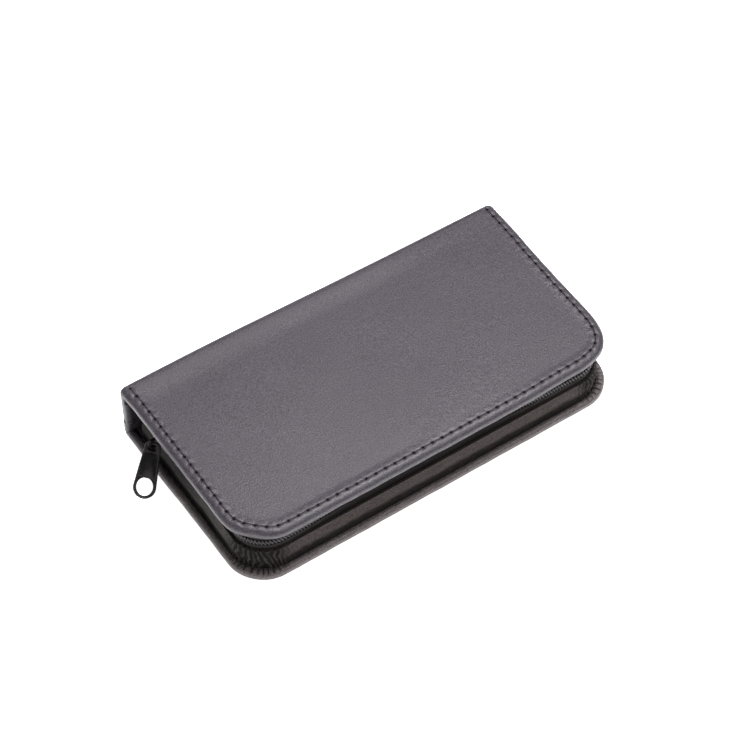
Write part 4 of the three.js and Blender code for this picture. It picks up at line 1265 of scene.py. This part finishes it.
def studio_world():
    """A room that is bright overhead, dim near the floor and dark on the photographer's side."""
    world = bpy.data.worlds.new("studio")
    world.use_nodes = True
    room = Nodes(world.node_tree)
    way = room.node("ShaderNodeTexCoord").outputs["Generated"]
    height = room.node("ShaderNodeSeparateXYZ", Vector=way).outputs["Z"]
    toward = room.node("ShaderNodeVectorMath", {"operation": "DOT_PRODUCT"})
    room.feed(toward.inputs[0], way)
    room.feed(toward.inputs[1], [-c for c in CAMERA_WAY])
    rise = room.remap(height, 0.0, 0.9, *WORLD_LIGHT, "SMOOTHSTEP")
    shade = room.remap(toward.outputs["Value"], 0.80, 0.96, 1.0, 0.10, "SMOOTHSTEP")
    background = room.tree.nodes["Background"]
    room.feed(background.inputs["Color"], (1.0, 1.0, 1.0, 1.0))
    room.feed(background.inputs["Strength"], room.maths("MULTIPLY", rise, shade))
    bpy.context.scene.world = world


def stage():
    floor()
    camera()
    studio_world()
    area_light("top_light", (0.20, 0.09, 0.80), (0.38, 0.28), 8.1)
    area_light("front_light", (0.32, -0.66, 1.05), (1.2, 0.8), 6)
    area_light("side_light", (-0.75, -0.20, 0.30), (0.7, 0.35), 1.2)
    bpy.context.scene.view_settings.view_transform = "Standard"


# Making the case


coil_left_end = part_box("zip_slider")[0].y
coil_right_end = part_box("bottom_stop")[0].y - CLEARANCE

wall_outline = Outline(WALL_CORNER, WALL_END)
coil_outline = Outline(WALL_CORNER, coil_right_end)
base_outline = Outline(BASE_CORNER, PANEL_END)
lid_outline = Outline(LID_CORNER, PANEL_END, LID_SETBACK, LID_BOW, LID_RIGHT_BACK, LID_RIGHT_CORNER)

base = cover("base_cover", CoverPath(base_outline, SPLIT_LOW, -1), BASE_EDGE, True, base_shape)
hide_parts("base_leather", "base_fold_leather")
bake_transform(base)

lid = cover("lid_cover", CoverPath(lid_outline, SPLIT_HIGH, 1), LID_EDGE, False, lid_shape)
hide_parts("lid_leather", "lid_fold_leather")
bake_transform(lid)

settle(spine_cover(), "spine", "leather", "spine_leather")

gusset_wall()
tape_low, tape_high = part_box("base_zip_tape")
tape("base_tape", "base_zip_tape", "base", tape_low.z, tape_high.z)
tape("lid_tape", "lid_zip_tape", "lid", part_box("lid_zip_tape")[0].z, LID_INNER, TAPE)
coil("base_coil", "base_zip_coil", "base", CHAIN_HEIGHT - COIL_APART, 0.0)
coil("lid_coil", "lid_zip_coil", "lid", CHAIN_HEIGHT + COIL_APART, 0.5)

for seam in (
    ("lid_stitches", "lid_seam_thread", "lid", lid_outline, STITCH_INSET, HEIGHT - 0.00030, 0.0005,
     thread_dark, lid_shape),
    ("base_stitches", "base_seam_thread", "base", base_outline, STITCH_INSET, 0.00034, -0.0006,
     thread_dark, swollen),
    ("gusset_stitches", "gusset_seam_thread", "base", wall_outline, GUSSET_CREASE_INSET - 0.00055,
     COVER + 0.00004, 0.0004, thread_pale),
):
    stitches(*seam)

puller()

cover_lining("base_inside", "base_lining", "base", BASE_CORNER[0], COVER, 1)
cover_lining("lid_inside", "lid_lining", "lid", LID_CORNER[0], LID_INNER, -1)
spine_low, spine_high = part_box("spine_lining")
spine_inside = soft_slab("spine_inside", spine_low, spine_high, 0.0004, lining_cloth)
settle(spine_inside, "spine", "lining", "spine_lining")
hinge_y = spine_low.y - CLEARANCE
hinge_lining("lid_hinge_lining", LID_INNER - LINING_GAP, 1)
hinge_lining("base_hinge_lining", COVER + LINING_GAP, -1)

elastic("clipper_strap", "base", COVER, 1, ["clipper_upper_jaw"])
elastic("scissors_strap", "base", COVER, 1, ["scissors_lower_half"])
elastic("lid_strap_left", "lid", LID_INNER, -1, ["file_blade", "tweezers", "cuticle_pusher"])
elastic("lid_strap_right", "lid", LID_INNER, -1, ["file_handle", "tweezers", "cuticle_pusher"])

for material, bevel, segments, *kept in (
    (board_card, 0.0001, 1, "base_board", "spine_board", "lid_board"),
    (steel, 0.00018, 3, "clipper_lower_jaw", "clipper_upper_jaw", "clipper_lever"),
    (steel, 0.00022, 3, "scissors_lower_half", "scissors_upper_half", "tweezers", "cuticle_pusher"),
    (polished, 0.00018, 3, "clipper_pin", "scissors_screw"),
    (abrasive, 0.00015, 3, "file_blade"),
    (grip_plastic, 0.0009, 5, "file_handle"),
    (lacquer_dull, 0.00022, 3, "zip_slider", "base_top_stop", "lid_top_stop", "bottom_stop"),
):
    for name in kept:
        finish_node(name, material, bevel, segments)

stage()
